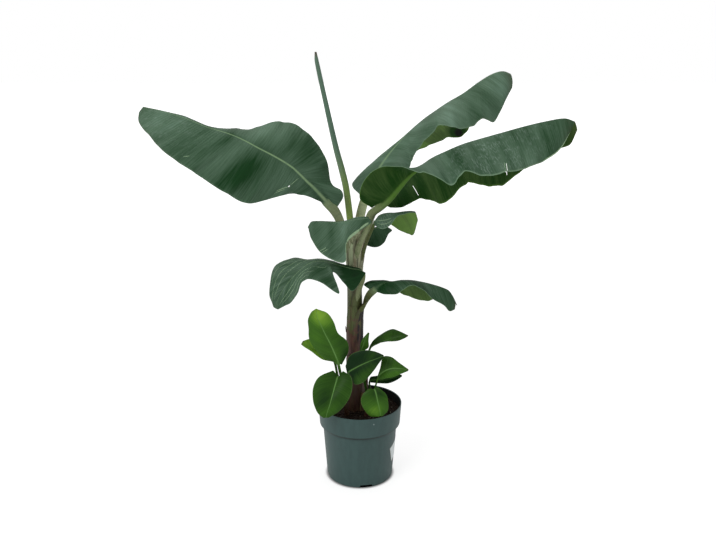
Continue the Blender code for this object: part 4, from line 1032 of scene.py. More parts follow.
def leaf_grid(name, leaf):
    """Fine upper and lower points of a leaf, the values its materials read above and below, which cells stay,
    and the row where its blade starts."""
    fine = FINE[leaf["size"]]
    looks = bpy.context.scene.plant_leaves
    draw = random.Random(name)
    knots, tables, rib_table, foot, total = leaf_tables(leaf)

    def read(label, at):
        return read_table(knots, tables[label], at)

    blade = np.linspace(foot, 1, max(30, round((1 - foot) * total / fine["row"])))
    petiole = np.linspace(0, foot, max(8, round(foot * total / PETIOLE_ROW)), endpoint=False)
    stations = np.concatenate([petiole, blade])
    opened = ease(stations, foot - OPENING / total, foot)
    shares = np.linspace(0, 1, fine["strips"] + 1) ** 0.85
    lean = TINTS[name].get("slant", (0.5, 0.5))
    thickness = looks.blade / MM
    wave = looks.wave_height / MM * fine["wave"]
    swell = looks.vein_height / MM * fine["veins"]
    halves, edges, outs, alongs = [], [], [], []
    for sign, margin_name in ((-1, "left"), (1, "right")):
        width = np.linalg.norm(read(margin_name, stations) - read("middle", stations), axis=1)
        at = stations[:, None] * np.ones(len(shares))
        along = (at - foot) * total - lean[sign > 0] * np.where(stations >= foot, width, 0.0)[:, None] * shares
        side, up, forward = read("side", at), read("up", at), read("forward", at)
        start = read("middle", at) + sign * np.interp(at, knots, rib_table)[..., None] * side
        wall = (sign * side * WING_OUT + up * WING_UP) * fine["wing"]
        reach = wall + (read(margin_name, at) - start - wall) * opened[:, None, None]
        span = np.linalg.norm(reach, axis=-1, keepdims=True)
        reach = np.where(span < fine["wing"], unit(reach) * fine["wing"], reach)
        span = np.maximum(span, fine["wing"])
        crown = unit(np.cross(reach, forward)) * sign
        u = shares[None, :, None]
        body = (at * total)[..., None]
        ripples = sum(
            strength * np.sin(body * math.tau / period + draw.uniform(0, math.tau))
            for period, strength in RIPPLES
        )
        taper = (ease(stations, foot, foot + 0.12) * (1 - ease(stations, 0.9, 1.0)))[:, None, None]
        pleat = np.cos(along[..., None] * math.tau / fine["spacing"]) * swell * ease(u, 0.0, 0.15) * (1 - 0.5 * u)
        bulge = span * BULGE * 4 * u * (1 - u) * opened[:, None, None]
        lift = bulge + taper * (wave * ripples * u**2 + pleat)
        halves.append(start + reach * u + crown * lift)
        edges.append(np.broadcast_to(shares, at.shape))
        outs.append((span * u)[..., 0] * MM)
        alongs.append(along * MM)

    across = np.linspace(-1, 1, fine["rib_strips"] + 1)[1:-1, None]
    rib = np.interp(stations, knots, rib_table)[:, None, None]
    middle, side, up = (read(label, stations)[:, None] for label in ("middle", "side", "up"))
    flat = middle + across * rib * side
    channel = flat - CHANNEL_DEPTH * rib * (1 - across**2) * up
    keel = flat - (thickness + RIB_DEPTH * rib * np.sqrt(1 - across**2)) * up
    upper = np.concatenate([halves[0][:, ::-1], channel, halves[1]], axis=1)
    normal = unit(np.cross(np.gradient(upper, axis=1), np.gradient(upper, axis=0)))
    first, last = fine["strips"], fine["strips"] + fine["rib_strips"]
    normal[:, [first, last]] = unit(normal[:, [first, last]] + up)
    under = upper - thickness * normal
    under[:, first + 1 : last] = keel

    zero = np.zeros((len(stations), fine["rib_strips"] - 1))
    edge = np.concatenate([edges[0][:, ::-1], zero, edges[1]], axis=1)
    places = dict(
        out=np.concatenate([outs[0][:, ::-1], zero, -outs[1]], axis=1),
        along=np.concatenate([alongs[0][:, ::-1], zero + alongs[0][:, :1], alongs[1]], axis=1),
        stalk=ease(1 - stations / foot, -0.2, 0.35)[:, None] + 0 * edge,
    )
    tip = np.clip((stations - foot) / (1 - foot), 0, 1)[:, None] + 0 * edge
    above, below = leaf_fields(name, tip, edge, (1 - opened)[:, None] + 0 * edge, (first, last))
    kept = leaf_slits(name, stations, foot, edge, fine)
    return upper, under, dict(above, **places), dict(below, **places), kept, len(petiole)


def leaf_fields(name, tip, edge, on_stalk, rib_columns):
    """Values that a leaf's two materials read at each point, above and below, from its share along the blade,
    its share of the width, and how far it is on the petiole."""
    tints = TINTS[name]
    first, last = rib_columns
    centre, half = (first + last) / 2, (last - first) / 2
    ones = np.ones_like(edge)
    column = np.arange(edge.shape[1])
    share = edge * np.where(column < centre, -1, 1)

    def spots(label):
        return sum(
            strength * hump(tip - where, reach_along) * hump(share - side, reach_across)
            for where, side, reach_along, reach_across, strength in tints.get(label, ())
        )

    from_middle = np.abs(column - centre) / half
    narrow, wide = FINE[LEAVES[name]["size"]]["rib_fade"]
    rib_shown = tints["rib"] * (1 - 0.5 * ease(tip, 0.3, 1.0))
    rib_above = np.maximum((1 - ease(from_middle, narrow, wide)) * rib_shown, on_stalk)
    rib_below = np.maximum((1 - ease(from_middle, 0.8, 1.05)) * ones, on_stalk)
    place, spread, left_dust, right_dust = tints.get("dust", (0.5, 0.3, 0.0, 0.0))
    dust = hump(tip - place, spread) * np.where(column < first, left_dust, right_dust)
    brown = tints["tip"] * ease(tip, 0.93, 1.0) + 0.35 * ease(edge, 0.985, 1.0) * ease(tip, 0.5, 1.0)
    both = dict(
        edge=edge, brown=brown + 0.45 * on_stalk * ease(edge, 0.75, 1.0), veins=tints["veins"] * ones,
        rim=tints["rim"] * (1 - on_stalk), stalk_tone=tints["stalk"] * ones,
        seed=(sum(map(ord, name)) % 53) * ones,
    )
    # Upper and underside tones with their spots: the leaf's own tone together with painted light and shade
    tint = spots("spots")
    above = dict(both, rib=rib_above, tint=(tints["upper"] + tint) * ones, residue=dust * (1 - rib_above))
    under_tone_light_and_shade = tints["under"] + 0.3 * tint + spots("below")
    below = dict(both, rib=rib_below, tint=under_tone_light_and_shade * ones, residue=0 * ones)
    return above, below


def leaf_slits(name, stations, foot, edge, fine):
    """Which cells of a leaf's grid stay, once its slits are torn."""
    first, last = fine["strips"], fine["strips"] + fine["rib_strips"]
    kept = np.ones((edge.shape[0] - 1, edge.shape[1] - 1), bool)
    for side, where, inner, outer, wide in SLITS.get(name, ()):
        row = np.searchsorted(stations, foot + where * (1 - foot))
        middle, reach = (inner + outer) / 2, max((outer - inner) / 2, 0.02)
        for column in range(edge.shape[1] - 1):
            share = (edge[row, column] + edge[row, column + 1]) / 2
            if (column >= last) != (side > 0) or abs(share - middle) > reach or first <= column < last:
                continue
            rows = wide / fine["row"] * math.sqrt(1 - ((share - middle) / reach) ** 2) / 2
            kept[row - max(0, round(rows - 0.5)) : row + max(1, round(rows)), column] = False
    return kept


def make_leaf(name, leaf):
    """A leaf, with the pale scars on it."""
    upper, under, above, below, kept, blade_row = leaf_grid(name, leaf)
    slot = "young_leaf" if leaf["size"] == "small" else "leaf"
    sheet_piece("fine_" + name, upper, under, leaf_materials(leaf["size"]), slot, name, above, below, kept, 50.0)
    if name in SCARS:
        make_scars(name, upper, under, above["edge"], blade_row, FINE[leaf["size"]]["strips"])


def scar_skin():
    """Dry pale skin of scars and folded edges."""
    looks = bpy.context.scene.plant_leaves
    material, n = new_material("scar_skin", 0.1)
    grain = n.grain(0.0012)["Grain"]
    colour = n.mix(n.span(grain, 0.35, 0.62), looks.scar, looks.rib)
    n.finish(colour, n.scaled(grain, 0.2, 0.5), grain, 0.0001)
    return material


def read_grid(grid, row, column):
    """Values of a grid, read between its rows and columns."""
    r = np.minimum(row.astype(int), grid.shape[0] - 2)
    c = np.minimum(column.astype(int), grid.shape[1] - 2)
    p, q = (row - r)[:, None], (column - c)[:, None]
    low, high = (grid[k, c] * (1 - q) + grid[k, c + 1] * q for k in (r, r + 1))
    return low * (1 - p) + high * p


def make_scars(name, upper, under, edge, blade_row, strips):
    """Thin raised strips along a leaf's scars and folds, joined in one piece."""
    rows, columns = edge.shape
    points, faces = [], []
    last = columns - 1 - strips
    u = np.linspace(0, 1, SCAR_POINTS)
    lift = unit(upper - under)
    for half, from_tip, from_share, to_tip, to_share, wide in SCARS[name]:
        row = blade_row + (from_tip + (to_tip - from_tip) * u) * (rows - 1 - blade_row)
        column = np.interp(from_share + (to_share - from_share) * u, edge[-1, last:], np.arange(last, columns))
        column = column if half > 0 else columns - 1 - column
        middle, up = read_grid(upper, row, column), unit(read_grid(lift, row, column))
        half_width = wide / 2 * np.sqrt(1 - (2 * u - 1) ** 2) + 0.1
        side = unit(np.cross(np.gradient(middle, axis=0), up)) * half_width[:, None]
        top = np.stack([middle - side + 0.1 * up, middle + 0.28 * up, middle + side + 0.1 * up], axis=1)
        grid, _ = sheet_faces(np.ones((len(u) - 1, 2), bool))
        faces += (grid + len(points)).tolist()
        points += np.concatenate([top.reshape(-1, 3), (top - 0.3 * up[:, None]).reshape(-1, 3)]).tolist()
    new_piece("scars_of_" + name, points, faces, [once(scar_skin)], crease=80.0)


def make_leaves(size):
    """Every leaf of one size."""
    for name, leaf in LEAVES.items():
        if leaf["size"] == size:
            make_leaf(name, leaf)


def stem_skin():
    """Wrapped sheaths: pale green above, olive in the middle and red-brown at the foot."""
    looks = bpy.context.scene.plant_stem
    material, n = new_material("stem_skin", 0.35)
    height = n.field("height")
    stripe, fibre, streak = (
        n.grain(size, stretch)["Grain"] for size, stretch in ((0.0065, 22.0), (0.0016, 30.0), (0.0045, 60.0))
    )
    blotch = n.noise(n.place(), 38.0)
    level = n.around(blotch, 0.10, height)
    warm = n.plus(n.span(streak, 0.48, 0.60, 0.0, 0.42), n.field("warm"), clamp=True)
    colour = n.mix(n.span(level, 0.54, 0.64), looks.middle, n.mix(warm, looks.top, looks.warm))
    patches = n.around(n.noise(n.place(), 55.0, 3.0, 0.6), 0.30, height)
    colour = n.mix(n.span(patches, 0.485, 0.43), colour, looks.maroon)
    colour = n.mix(n.span(level, 0.37, 0.27), colour, looks.foot)
    shade = n.span(level, 0.70, 0.45, 0.6, 0.5)
    colour = n.mix(n.times(n.span(stripe, 0.46, 0.64), shade), colour, looks.seam)
    colour = n.mix(n.span(fibre, 0.35, 0.7, 0.0, 0.25), colour, looks.paper)
    colour = n.mix(n.field("seam"), colour, looks.seam)
    colour = n.mix(n.field("pale"), colour, n.mix(n.span(height, 0.54, 0.62), looks.seam, looks.sheath_edge))
    # The stem's dark places: painted shade on its right front, and dark marks
    colour = n.mix(n.times(n.field("mark"), n.span(blotch, 0.2, 0.45)), colour, looks.bruise)
    spots = n.span(n.noise(n.place(), 120.0, 4.0, 0.7), 0.62, 0.72, 0.0, 0.6)
    colour = n.mix(spots, colour, looks.foot)
    n.finish(colour, n.scaled(fibre, 0.25, 0.38), n.scaled(fibre, 0.6, stripe), 0.0004, 0.6)
    return material


def dry_sheath():
    """Dry, papery sheath with long fibres."""
    looks = bpy.context.scene.plant_stem
    material, n = new_material("dry_sheath", 0.2)
    fibre = n.grain(0.0018, 22.0)["Grain"]
    grain = n.grain(0.004, 3.0)
    colour = n.mix(n.span(fibre, 0.3, 0.7), looks.paper, looks.seam)
    colour = n.mix(n.span(grain["Cloud"], 0.45, 0.65, 0.0, 0.5), colour, looks.foot)
    n.finish(colour, n.scaled(grain["Grain"], 0.2, 0.6), fibre, 0.0004)
    return material


def stem_at(height):
    """Centre and radius of the stem at a height, without its sheaths."""
    x, y, z, radius = smooth_curve(STEM[:, 2], STEM, np.array([height]))[0]
    return (x, y, z), radius


def stem_radius(height, turns):
    """The stem's outer radius at a height, with the steps where one sheath wraps over the next, and how near
    each turn is to such an edge."""
    lift, seam = np.zeros_like(turns), np.zeros_like(turns)
    for low, high, start, lean, step in STEM_SEAMS:
        strength = float(ease(height, low, low + SEAM_FADE) * (1 - ease(height, high - SEAM_FADE, high)))
        away = (turns - math.radians(start) - lean * (height - low)) % math.tau
        lift += strength * step * np.exp(-away / SEAM_FALL)
        seam = np.maximum(seam, strength * hump((away + 0.06) % math.tau, 0.09))
    fibres = 0.10 * np.sin(turns * 46 + height * 0.02) + 0.06 * np.sin(turns * 83 + height * 0.05)
    return stem_at(height)[1] - SKIN_INSET + lift + fibres, seam


def stem_mark(height, turns):
    """How dark the stem is painted at a height, for each turn: painted shade and dark marks."""
    mark = np.zeros_like(turns)
    for place, turn, up, around, strength in STEM_MARKS:
        away = (np.degrees(turns) - turn + 180) % 360 - 180
        mark += strength * hump(height - place, up) * hump(away, around)
    return np.clip(mark, 0, 1)


def make_stem():
    """The main stem, with its sheaths' edges standing up as steps and its dark places, painted shade and dark
    marks.
    """
    turns = turns_of(STEM_SIDES)
    heights = np.arange(STEM_LOW, STEM_TOP + 0.1, STEM_STEP)
    rings, seams, marks = [], [], []
    for height in heights:
        radii, seam = stem_radius(height, turns)
        close = float(ease(height, STEM_TOP - 10, STEM_TOP))
        rings.append(circle(stem_at(height)[0], radii - 5.0 * close * close, turns))
        seams.append(seam)
        marks.append(stem_mark(height, turns))
    fields = dict(height=np.repeat(heights, len(turns)) * MM, seam=seams, mark=marks)
    ends = dict(height=(STEM_LOW * MM, STEM_TOP * MM))
    rod_piece("fine_pseudostem", rings, once(stem_skin), "pseudostem", fields, ends)


def make_wrap(name, rows, material):
    """A thin sheet that lies round the stem, with a ragged upper edge."""
    rows = np.array(rows, float)
    draw = random.Random(name)
    heights = np.arange(rows[0, 0], rows[-1, 0] + 0.1, WRAP_STEP)
    first, last, away = (smooth_curve(rows[:, 0], rows[:, c], heights) for c in (1, 2, 3))
    shares = np.linspace(0, 1, WRAP_COLUMNS)
    ragged = np.array([draw.uniform(-1, 1) for _ in shares])
    lip = 0.8 * (2 * shares - 1) ** 8
    outer, inner = [], []
    for k, height in enumerate(heights):
        turns = np.radians(first[k] + (last[k] - first[k]) * shares)
        level = k / (len(heights) - 1)
        radii = stem_radius(height, turns)[0] + away[k] + 0.35 * np.sin(shares * 23) * level + lip
        for grid, extra in zip((outer, inner), SHEATH_FACES):
            ring = circle(stem_at(height)[0], radii + extra, turns)
            ring[:, 2] = height + RAGGED * level**3 * ragged
            grid.append(ring)
    ones = np.ones((len(heights), len(shares)))
    rim = np.clip((np.abs(2 * shares - 1) - 0.9) * 8, 0, 0.8)
    fields = dict(height=heights[:, None] * ones * MM, pale=rim * ones)
    sheet_piece(name, outer, inner, [material], "stem", fields=fields)


def make_stalk_foot(name, low, half_angle, warm, mark):
    """The wrapped foot of a leaf stalk: an arc round the stem that narrows into the stalk's channel."""
    knots, tables, rib_table, foot, _ = leaf_tables(LEAVES[name])
    join = STALK_FOOT_SHARE * foot
    top, side, up = (read_table(knots, tables[label], join) for label in ("middle", "side", "up"))
    rib = float(np.interp(join, knots, rib_table))
    centre = stem_at(top[2])[0]
    start_turn = math.atan2(top[1] - centre[1], top[0] - centre[0])
    flip = 1 if math.cos(start_turn) * side[1] > math.sin(start_turn) * side[0] else -1
    levels = np.linspace(0, 1, FOOT_ROWS)
    shares = np.linspace(-1, 1, FOOT_COLUMNS)
    x = shares[:, None]
    end = top + x * rib * side - (RIB_DEPTH * rib * np.sqrt(1 - x * x) + 0.5) * up
    ends = (end, end + 1.6 * unit(top - end))
    outer, inner, marks = [], [], []
    for level in levels:
        height = low + (top[2] - low) * level
        turns = start_turn + flip * shares * math.radians(half_angle) * (1 - 0.25 * level)
        on_stem = min(height, STEM_TOP)
        radii = stem_radius(on_stem, turns)[0]
        mixed = float(ease(level, 0.35, 1.0))
        for grid, away, shape in ((outer, 0.5 + 1.2 * level, ends[0]), (inner, -0.9 + 1.0 * level, ends[1])):
            ring = circle(stem_at(on_stem)[0], radii + away, turns)
            ring[:, 2] = height
            grid.append(ring * (1 - mixed) + shape * mixed)
        marks.append(np.clip(stem_mark(height, turns) + mark, 0, 1))
    outer, inner, marks = (np.array(grid)[:, ::flip] for grid in (outer, inner, marks))
    ones = np.ones(marks.shape)
    rim = np.clip((np.abs(shares) - 0.88) * 8, 0, 0.7)
    heights = (low + (top[2] - low) * levels)[:, None] * ones * MM
    fields = dict(height=heights, pale=rim * ones, warm=warm * ones, mark=marks)
    sheet_piece("foot_of_" + name, outer, inner, [once(stem_skin)], "stem", fields=fields)


def make_shoot(name):
    """A side shoot's short stem of wrapped sheaths."""
    rows = np.array(SHOOTS[name], float)
    low, high = rows[0, 2], rows[-1, 2]
    turns = turns_of(SHOOT_SIDES)
    heights = np.arange(low, high + 0.1, SHOOT_STEP)
    rings, seams = [], []
    for height in heights:
        x, y, _, radius = smooth_curve(rows[:, 2], rows, np.array([height]))[0]
        away = (turns - height * 0.012) % math.tau
        shape = radius * (1 + 0.10 * np.exp(-away / 0.9)) - 0.5 + 0.12 * np.sin(turns * 17)
        close = float(ease(height, high - 5, high))
        rings.append(circle((x, y, height), shape * (1 - 0.35 * close), turns))
        seams.append(0.8 * hump((away + 0.15) % math.tau, 0.25))
    fields = dict(height=np.repeat(heights, len(turns)) * MM, seam=seams)
    rod_piece("fine_" + name, rings, once(stem_skin), name, fields, dict(height=(low * MM, high * MM)))


def new_leaf_skin():
    """Rolled leaf: yellow-green at its foot and bluish above, with fine lines wound round it."""
    looks, leaves = bpy.context.scene.plant_stem, bpy.context.scene.plant_leaves
    material, n = new_material("new_leaf_skin", 0.45)
    along, roll_x, roll_y = n.field("along"), n.field("roll_x"), n.field("roll_y")
    lines = n.noise(n.vector(roll_x, roll_y, n.times(along, 4.0)), 1.2)
    fine = n.noise(n.vector(roll_x, roll_y, n.times(along, 0.8)), 9.0)
    colour = n.mix(n.span(n.around(lines, 0.35, along), 0.15, 0.62), looks.spear_low, looks.spear_high)
    colour = n.mix(n.span(fine, 0.4, 0.7, 0.0, 0.35), colour, leaves.upper_dark)
    colour = n.mix(n.field("seam"), colour, leaves.rib)
    colour = n.mix(n.span(along, 0.965, 1.0, 0.0, 0.8), colour, leaves.dry)
    n.finish(colour, n.scaled(fine, 0.2, 0.32), fine, 0.0003)
    return material


def make_spear():
    """The rolled new leaf: a rod whose outer turn ends in a raised edge that winds up it."""
    travelled = route_length(SPEAR_ROUTE)
    knots = travelled / travelled[-1]
    at = np.linspace(0, 1, SPEAR_RINGS)
    centres, radii = smooth_curve(knots, SPEAR_ROUTE, at), smooth_curve(knots, SPEAR_RADII, at)
    turns = turns_of(SPEAR_SIDES)
    rings, seams, rolled = [], [], []
    for share, centre, radius in zip(at, centres, radii):
        wound = turns + SPEAR_WIND * share
        away, second = (wound - 4.3) % math.tau, (wound - 1.2) % math.tau
        shape = radius * (0.94 + 0.08 * np.exp(-away / 1.1) + 0.05 * np.exp(-second / 0.7))
        rings.append(circle(centre, shape + 0.06 * np.sin(turns * 21 + share * 60), turns))
        seams.append(0.6 * hump((away + 0.04) % math.tau, 0.10))
        rolled.append(wound)
    fields = dict(along=np.repeat(at, len(turns)), roll_x=np.cos(rolled), roll_y=np.sin(rolled), seam=seams)
    rod_piece("fine_leaf_spear", rings, new_leaf_skin(), "leaf_spear", fields, dict(along=(0, 1)))


def turned(name, profile, steps):
    """A closed profile of radius and height turned round the upright axis."""
    turns = turns_of(steps)
    rings = np.array([circle((0, 0, height), radius, turns) for radius, height in profile])
    index = np.arange(len(rings) * steps).reshape(-1, steps)
    below, after = np.roll(index, -1, axis=0), np.roll(index, -1, axis=1)
    faces = np.stack([below, np.roll(after, -1, axis=0), after, index], axis=-1).reshape(-1, 4)
    mesh = bpy.data.meshes.new(name)
    mesh.from_pydata((rings.reshape(-1, 3) * MM).tolist(), [], faces.tolist())
    return mesh


def rounded(corners, steps=5):
    """A profile of (radius, height, rounding) corners with each corner rounded by short chords."""
    points = []
    for k, (radius, height, size) in enumerate(corners):
        here = np.array((radius, height))
        if size <= 0:
            points.append(here)
            continue
        before, after = (np.array(corners[j % len(corners)][:2]) - here for j in (k - 1, k + 1))
        start, end = (
            here + way / np.linalg.norm(way) * min(size, np.linalg.norm(way) / 2) for way in (before, after)
        )
        points += [(1 - u) ** 2 * start + 2 * u * (1 - u) * here + u * u * end for u in np.linspace(0, 1, steps)]
    return points


def pot_plastic():
    """Moulded plastic: faint upright mottling, fine grain, a few scuffs and a painted shade line under the
    collar.
    """
    looks = bpy.context.scene.plant_pot
    material, n = new_material("pot_plastic", 0.3)
    mottle, grain, scratch = n.grain(0.012, 3.5), n.grain(0.0006)["Grain"], n.grain(0.002, 0.25)["Grain"]
    height = n.parts()["Z"]
    colour = n.mix(n.span(mottle["Grain"], 0.32, 0.68), looks.plastic_dark, looks.plastic)
    scuffs = n.times(n.span(scratch, 0.68, 0.74), n.span(mottle["Cloud"], 0.55, 0.7, 0.0, 0.5))
    low_edge = n.times(n.span(height, 0.008, 0.0, 0.0, 0.3), grain)
    colour = n.mix(n.plus(scuffs, low_edge, clamp=True), colour, looks.scuff)
    # A dark band under the collar's ledge, painted shade
    painted_shade_under_collar = n.times(n.span(height, 0.154, 0.1615, 0.0, 0.8), n.span(height, 0.1675, 0.1650))
    colour = n.mix(painted_shade_under_collar, colour, looks.inside)
    from_chip = n.add("ShaderNodeVectorMath", {0: n.place(), 1: CHIP}, operation="DISTANCE").outputs["Value"]
    rubbed = n.times(n.span(from_chip, 0.0032, 0.0005), n.span(grain, 0.35, 0.6, 0.1, 0.7))
    colour = n.mix(rubbed, colour, looks.chip)
    n.finish(colour, n.scaled(grain, 0.22, 0.34), grain, 0.00012, 0.5)
    return material


def pot_inside():
    """The inside of the pot, painted dark as shade, with dried soil that clings in streaks."""
    material, n = new_material("pot_inside", 0.15)
    grain, streak = n.grain(0.002, 2.0)["Grain"], n.grain(0.010, 5.0)["Grain"]
    clings = n.times(n.span(grain, 0.4, 0.62), n.span(streak, 0.4, 0.6))
    colour = n.mix(clings, bpy.context.scene.plant_pot.inside, bpy.context.scene.plant_stem.soil)
    n.finish(colour, n.scaled(grain, 0.25, 0.55), grain, 0.0003, 0.6)
    return material


def pot_outline(wall):
    """Corners of the pot's closed profile, as radius, height and rounding: its outside and its inside."""
    outside = (
        (117.9, 225.0, 0.9), (120.0, 225.0, 0.9), (119.6, 217.5, 3.0), (COLLAR, 165.0, 0.8), (114.6, 163.2, 0.5),
        (108.2, 163.4, 0.8), (BODY_RADII[1], BODY_HEIGHTS[1], 0.8), (BODY_RADII[0], BODY_HEIGHTS[0], 4.0),
        (94.2, 0.9, 1.6), (92.0, 0.0, 1.2), (70.0, 0.0, 0.8), (69.0, POT_FLOOR, 1.5), (0.4, POT_FLOOR, 0.0),
        (0.4, POT_FLOOR + wall, 0.0),
    )
    inside = (
        (INNER_FOOT - wall, POT_FLOOR + wall, 1.5), (INNER_TOP - wall, 164.5, 1.0), (COLLAR - wall, 166.5, 1.0),
        (117.3, 223.5, 0.6),
    )
    return outside, inside


def make_pot():
    """The turned pot, with its foot slots and drain holes cut out."""
    looks = bpy.context.scene.plant_pot
    wall = looks.wall / MM
    outside, inside = pot_outline(wall)
    raw = add_object("pot_turned", turned("pot_turned", rounded(outside + inside), looks.steps))
    cutters = []

    def cut(shape, radius, height, turn, size, tilt):
        place = [c * MM for c in (radius * math.cos(turn), radius * math.sin(turn), height)]
        cutter = add_object("pot_cut", shape, location=place, rotation_euler=tilt, scale=[s * MM for s in size])
        modifier = raw.modifiers.new("cut", "BOOLEAN")
        modifier.operation, modifier.solver, modifier.object = "DIFFERENCE", "EXACT", cutter
        cutters.append(cutter)

    right = [(math.cos(a) ** 0.3, math.sin(a) ** 0.3) for a in np.linspace(0.15, math.pi / 2, 7)]
    arch = [(-1.0, 0.0), (1.0, 0.0)] + right + [(-y, z) for y, z in right[::-1]][1:]
    slot = prism("pot_slot", arch)
    hole = prism("pot_hole", [(math.cos(a), math.sin(a)) for a in turns_of(28)])
    for k in range(FOOT_SLOTS):
        turn = FIRST_SLOT + k * math.tau / FOOT_SLOTS
        cut(slot, SLOT_RADIUS, 0.3, turn, SLOT_SIZE, (0, 0, turn))
    for k in range(DRAINS):
        turn = FIRST_SLOT + (k + 0.5) * math.tau / DRAINS
        cut(hole, DRAIN_RADIUS, POT_FLOOR + wall / 2, turn, DRAIN_SIZE, (0, math.pi / 2, 0))
    mesh = bpy.data.meshes.new_from_object(raw.evaluated_get(bpy.context.evaluated_depsgraph_get()))
    for obj in [raw, *cutters]:
        bpy.data.objects.remove(obj)
    mesh.name = "fine_pot"
    mesh.materials.clear()
    mesh.materials.append(pot_plastic())
    mesh.materials.append(pot_inside())
    # Faces inside the pot and in its foot slots take the inside material: painted shade with soil streaks
    radii, heights, _ = zip(*inside)
    sides = []
    for face in mesh.polygons:
        x, y, z = face.center / MM
        radius = math.hypot(x, y)
        in_slot = SHADED_SLOTS[0] < z < SHADED_SLOTS[1] and radius < SHADED_SLOT_RADIUS
        within = SHADED_INSIDE[0] < z < SHADED_INSIDE[1] and radius < np.interp(z, heights, radii) + 0.8
        sides.append(int(in_slot or within))
    mesh.polygons.foreach_set("material_index", sides)
    finish_piece("fine_pot", mesh, "pot", 35.0)


def prism(name, outline):
    """A unit prism along X with an outline of (y, z) points, anticlockwise seen from +X."""
    count = len(outline)
    points = [(x, y, z) for x in (-1.0, 1.0) for y, z in outline]
    faces = [tuple(range(count))[::-1], tuple(range(count, 2 * count))]
    faces += [(k, (k + 1) % count, count + (k + 1) % count, count + k) for k in range(count)]
    mesh = bpy.data.meshes.new(name)
    mesh.from_pydata(points, [], faces)
    mesh.update()
    tools = bmesh.new()
    tools.from_mesh(mesh)
    bmesh.ops.recalc_face_normals(tools, faces=tools.faces)
    tools.to_mesh(mesh)
    tools.free()
    return mesh


def sticker_paper():
    """Plain paper with a faint fibre and slightly soiled edges."""
    looks = bpy.context.scene.plant_pot
    material, n = new_material("sticker_paper", 0.3)
    fibre, cloud = n.grain(0.0007)["Grain"], n.grain(0.006)["Cloud"]
    colour = n.mix(n.times(n.span(fibre, 0.35, 0.7), 0.4), looks.label, dimmed(looks.label, 0.86))
    worn = n.times(n.span(n.field("edge"), 0.90, 1.0), n.span(cloud, 0.35, 0.7, 0.15, 0.8))
    colour = n.mix(worn, colour, looks.label_soiled)
    n.finish(colour, n.scaled(fibre, 0.25, 0.42), fibre, 0.00008, 0.4)
    return material


def make_label():
    """A bare sticker bent round the pot's body, with rounded corners."""
    width, drop = STICKER
    a, b = np.meshgrid(*(np.linspace(0, size, STICKER_POINTS) for size in STICKER))
    near_a, near_b = np.minimum(a, width - a), np.minimum(b, drop - b)
    # The grid's corners are pulled in, so that the sticker's corners are round
    gap_a, gap_b = STICKER_CORNER - near_a, STICKER_CORNER - near_b
    reach = np.maximum(np.hypot(gap_a, gap_b), 1e-6)
    pull = np.where((gap_a > 0) & (gap_b > 0), np.maximum(gap_a, gap_b) / reach, 1.0)
    in_a, in_b = STICKER_CORNER - gap_a * pull, STICKER_CORNER - gap_b * pull
    a, b = np.where(a < width / 2, in_a, width - in_a), np.where(b < drop / 2, in_b, drop - in_b)
    along = a * math.cos(STICKER_TILT) + b * math.sin(STICKER_TILT)
    height = STICKER_TOP + a * math.sin(STICKER_TILT) - b * math.cos(STICKER_TILT)
    wave = 0.05 * np.sin(a * 0.21) * np.sin(b * 0.17 + 1.0)
    layers = []
    for depth in (0.0, bpy.context.scene.plant_pot.label_thickness / MM):
        radius = np.interp(height, BODY_HEIGHTS, BODY_RADII) + STICKER_LIFT - depth + wave
        turn = STICKER_TURN + along / radius
        layers.append(np.stack([radius * np.cos(turn), radius * np.sin(turn), height], axis=-1)[:, ::-1])
    fields = dict(edge=(1 - np.minimum(near_a, near_b) / (width / 2))[:, ::-1])
    sheet_piece("fine_label", *layers, [sticker_paper()], "label", "pot_label", fields, crease=30.0)


def soil_height(x, y):
    """Height of the soil's top at a place: lumps of several sizes on a low mound."""
    height = SOIL_LEVEL + SOIL_MOUND * (1 - (math.hypot(x, y) / SOIL_EDGE) ** 2)
    for share, seed, size in SOIL_LUMPS:
        height += size * noise.noise(Vector((x * share, y * share, seed)))
    return height


def soil_material(name, colour, other, size):
    """Crumbly matter with dark patches."""
    material, n = new_material(name, 0.15)
    grain, patch = n.grain(size)["Grain"], n.grain(size * 6)["Grain"]
    tone = n.mix(n.span(grain, 0.38, 0.68), colour, other)
    tone = n.mix(n.span(patch, 0.45, 0.7, 0.0, 0.5), tone, bpy.context.scene.plant_stem.seam)
    n.finish(tone, n.scaled(grain, 0.2, 0.75), grain, 0.0006, 0.8)
    return material


def make_soil():
    """The soil's plug with a lumpy top, and loose crumbs, bark and pale specks on it."""
    looks = bpy.context.scene.plant_stem
    turns = turns_of(SOIL_SIDES)
    rings = [circle((0, 0, height), radius, turns) for radius, height in SOIL_WALL]
    for radius in np.concatenate([[115.2], np.arange(114.0, 2.0, -SOIL_STEP)]):
        ring = circle((0, 0, 0), radius, turns)
        ring[:, 2] = [soil_height(x, y) for x, y, _ in ring]
        rings.append(ring)
    tips = ((0, 0, SOIL_WALL[0][1]), (0, 0, soil_height(0, 0)))
    earth = soil_material("potting_soil", looks.soil, looks.soil_light, 0.0012)
    rod_piece("fine_soil", rings, earth, "soil", tips=tips)
    bark = soil_material("soil_bark", looks.fibre, looks.soil, 0.001)
    specks = soil_material("soil_specks", looks.speck, looks.speck_dark, 0.0008)
    draw, ball = random.Random(BITS_SEED), crumb_shape()
    for name, material in zip(SOIL_BITS, (earth, bark, specks)):
        make_bits(name, material, draw, ball)


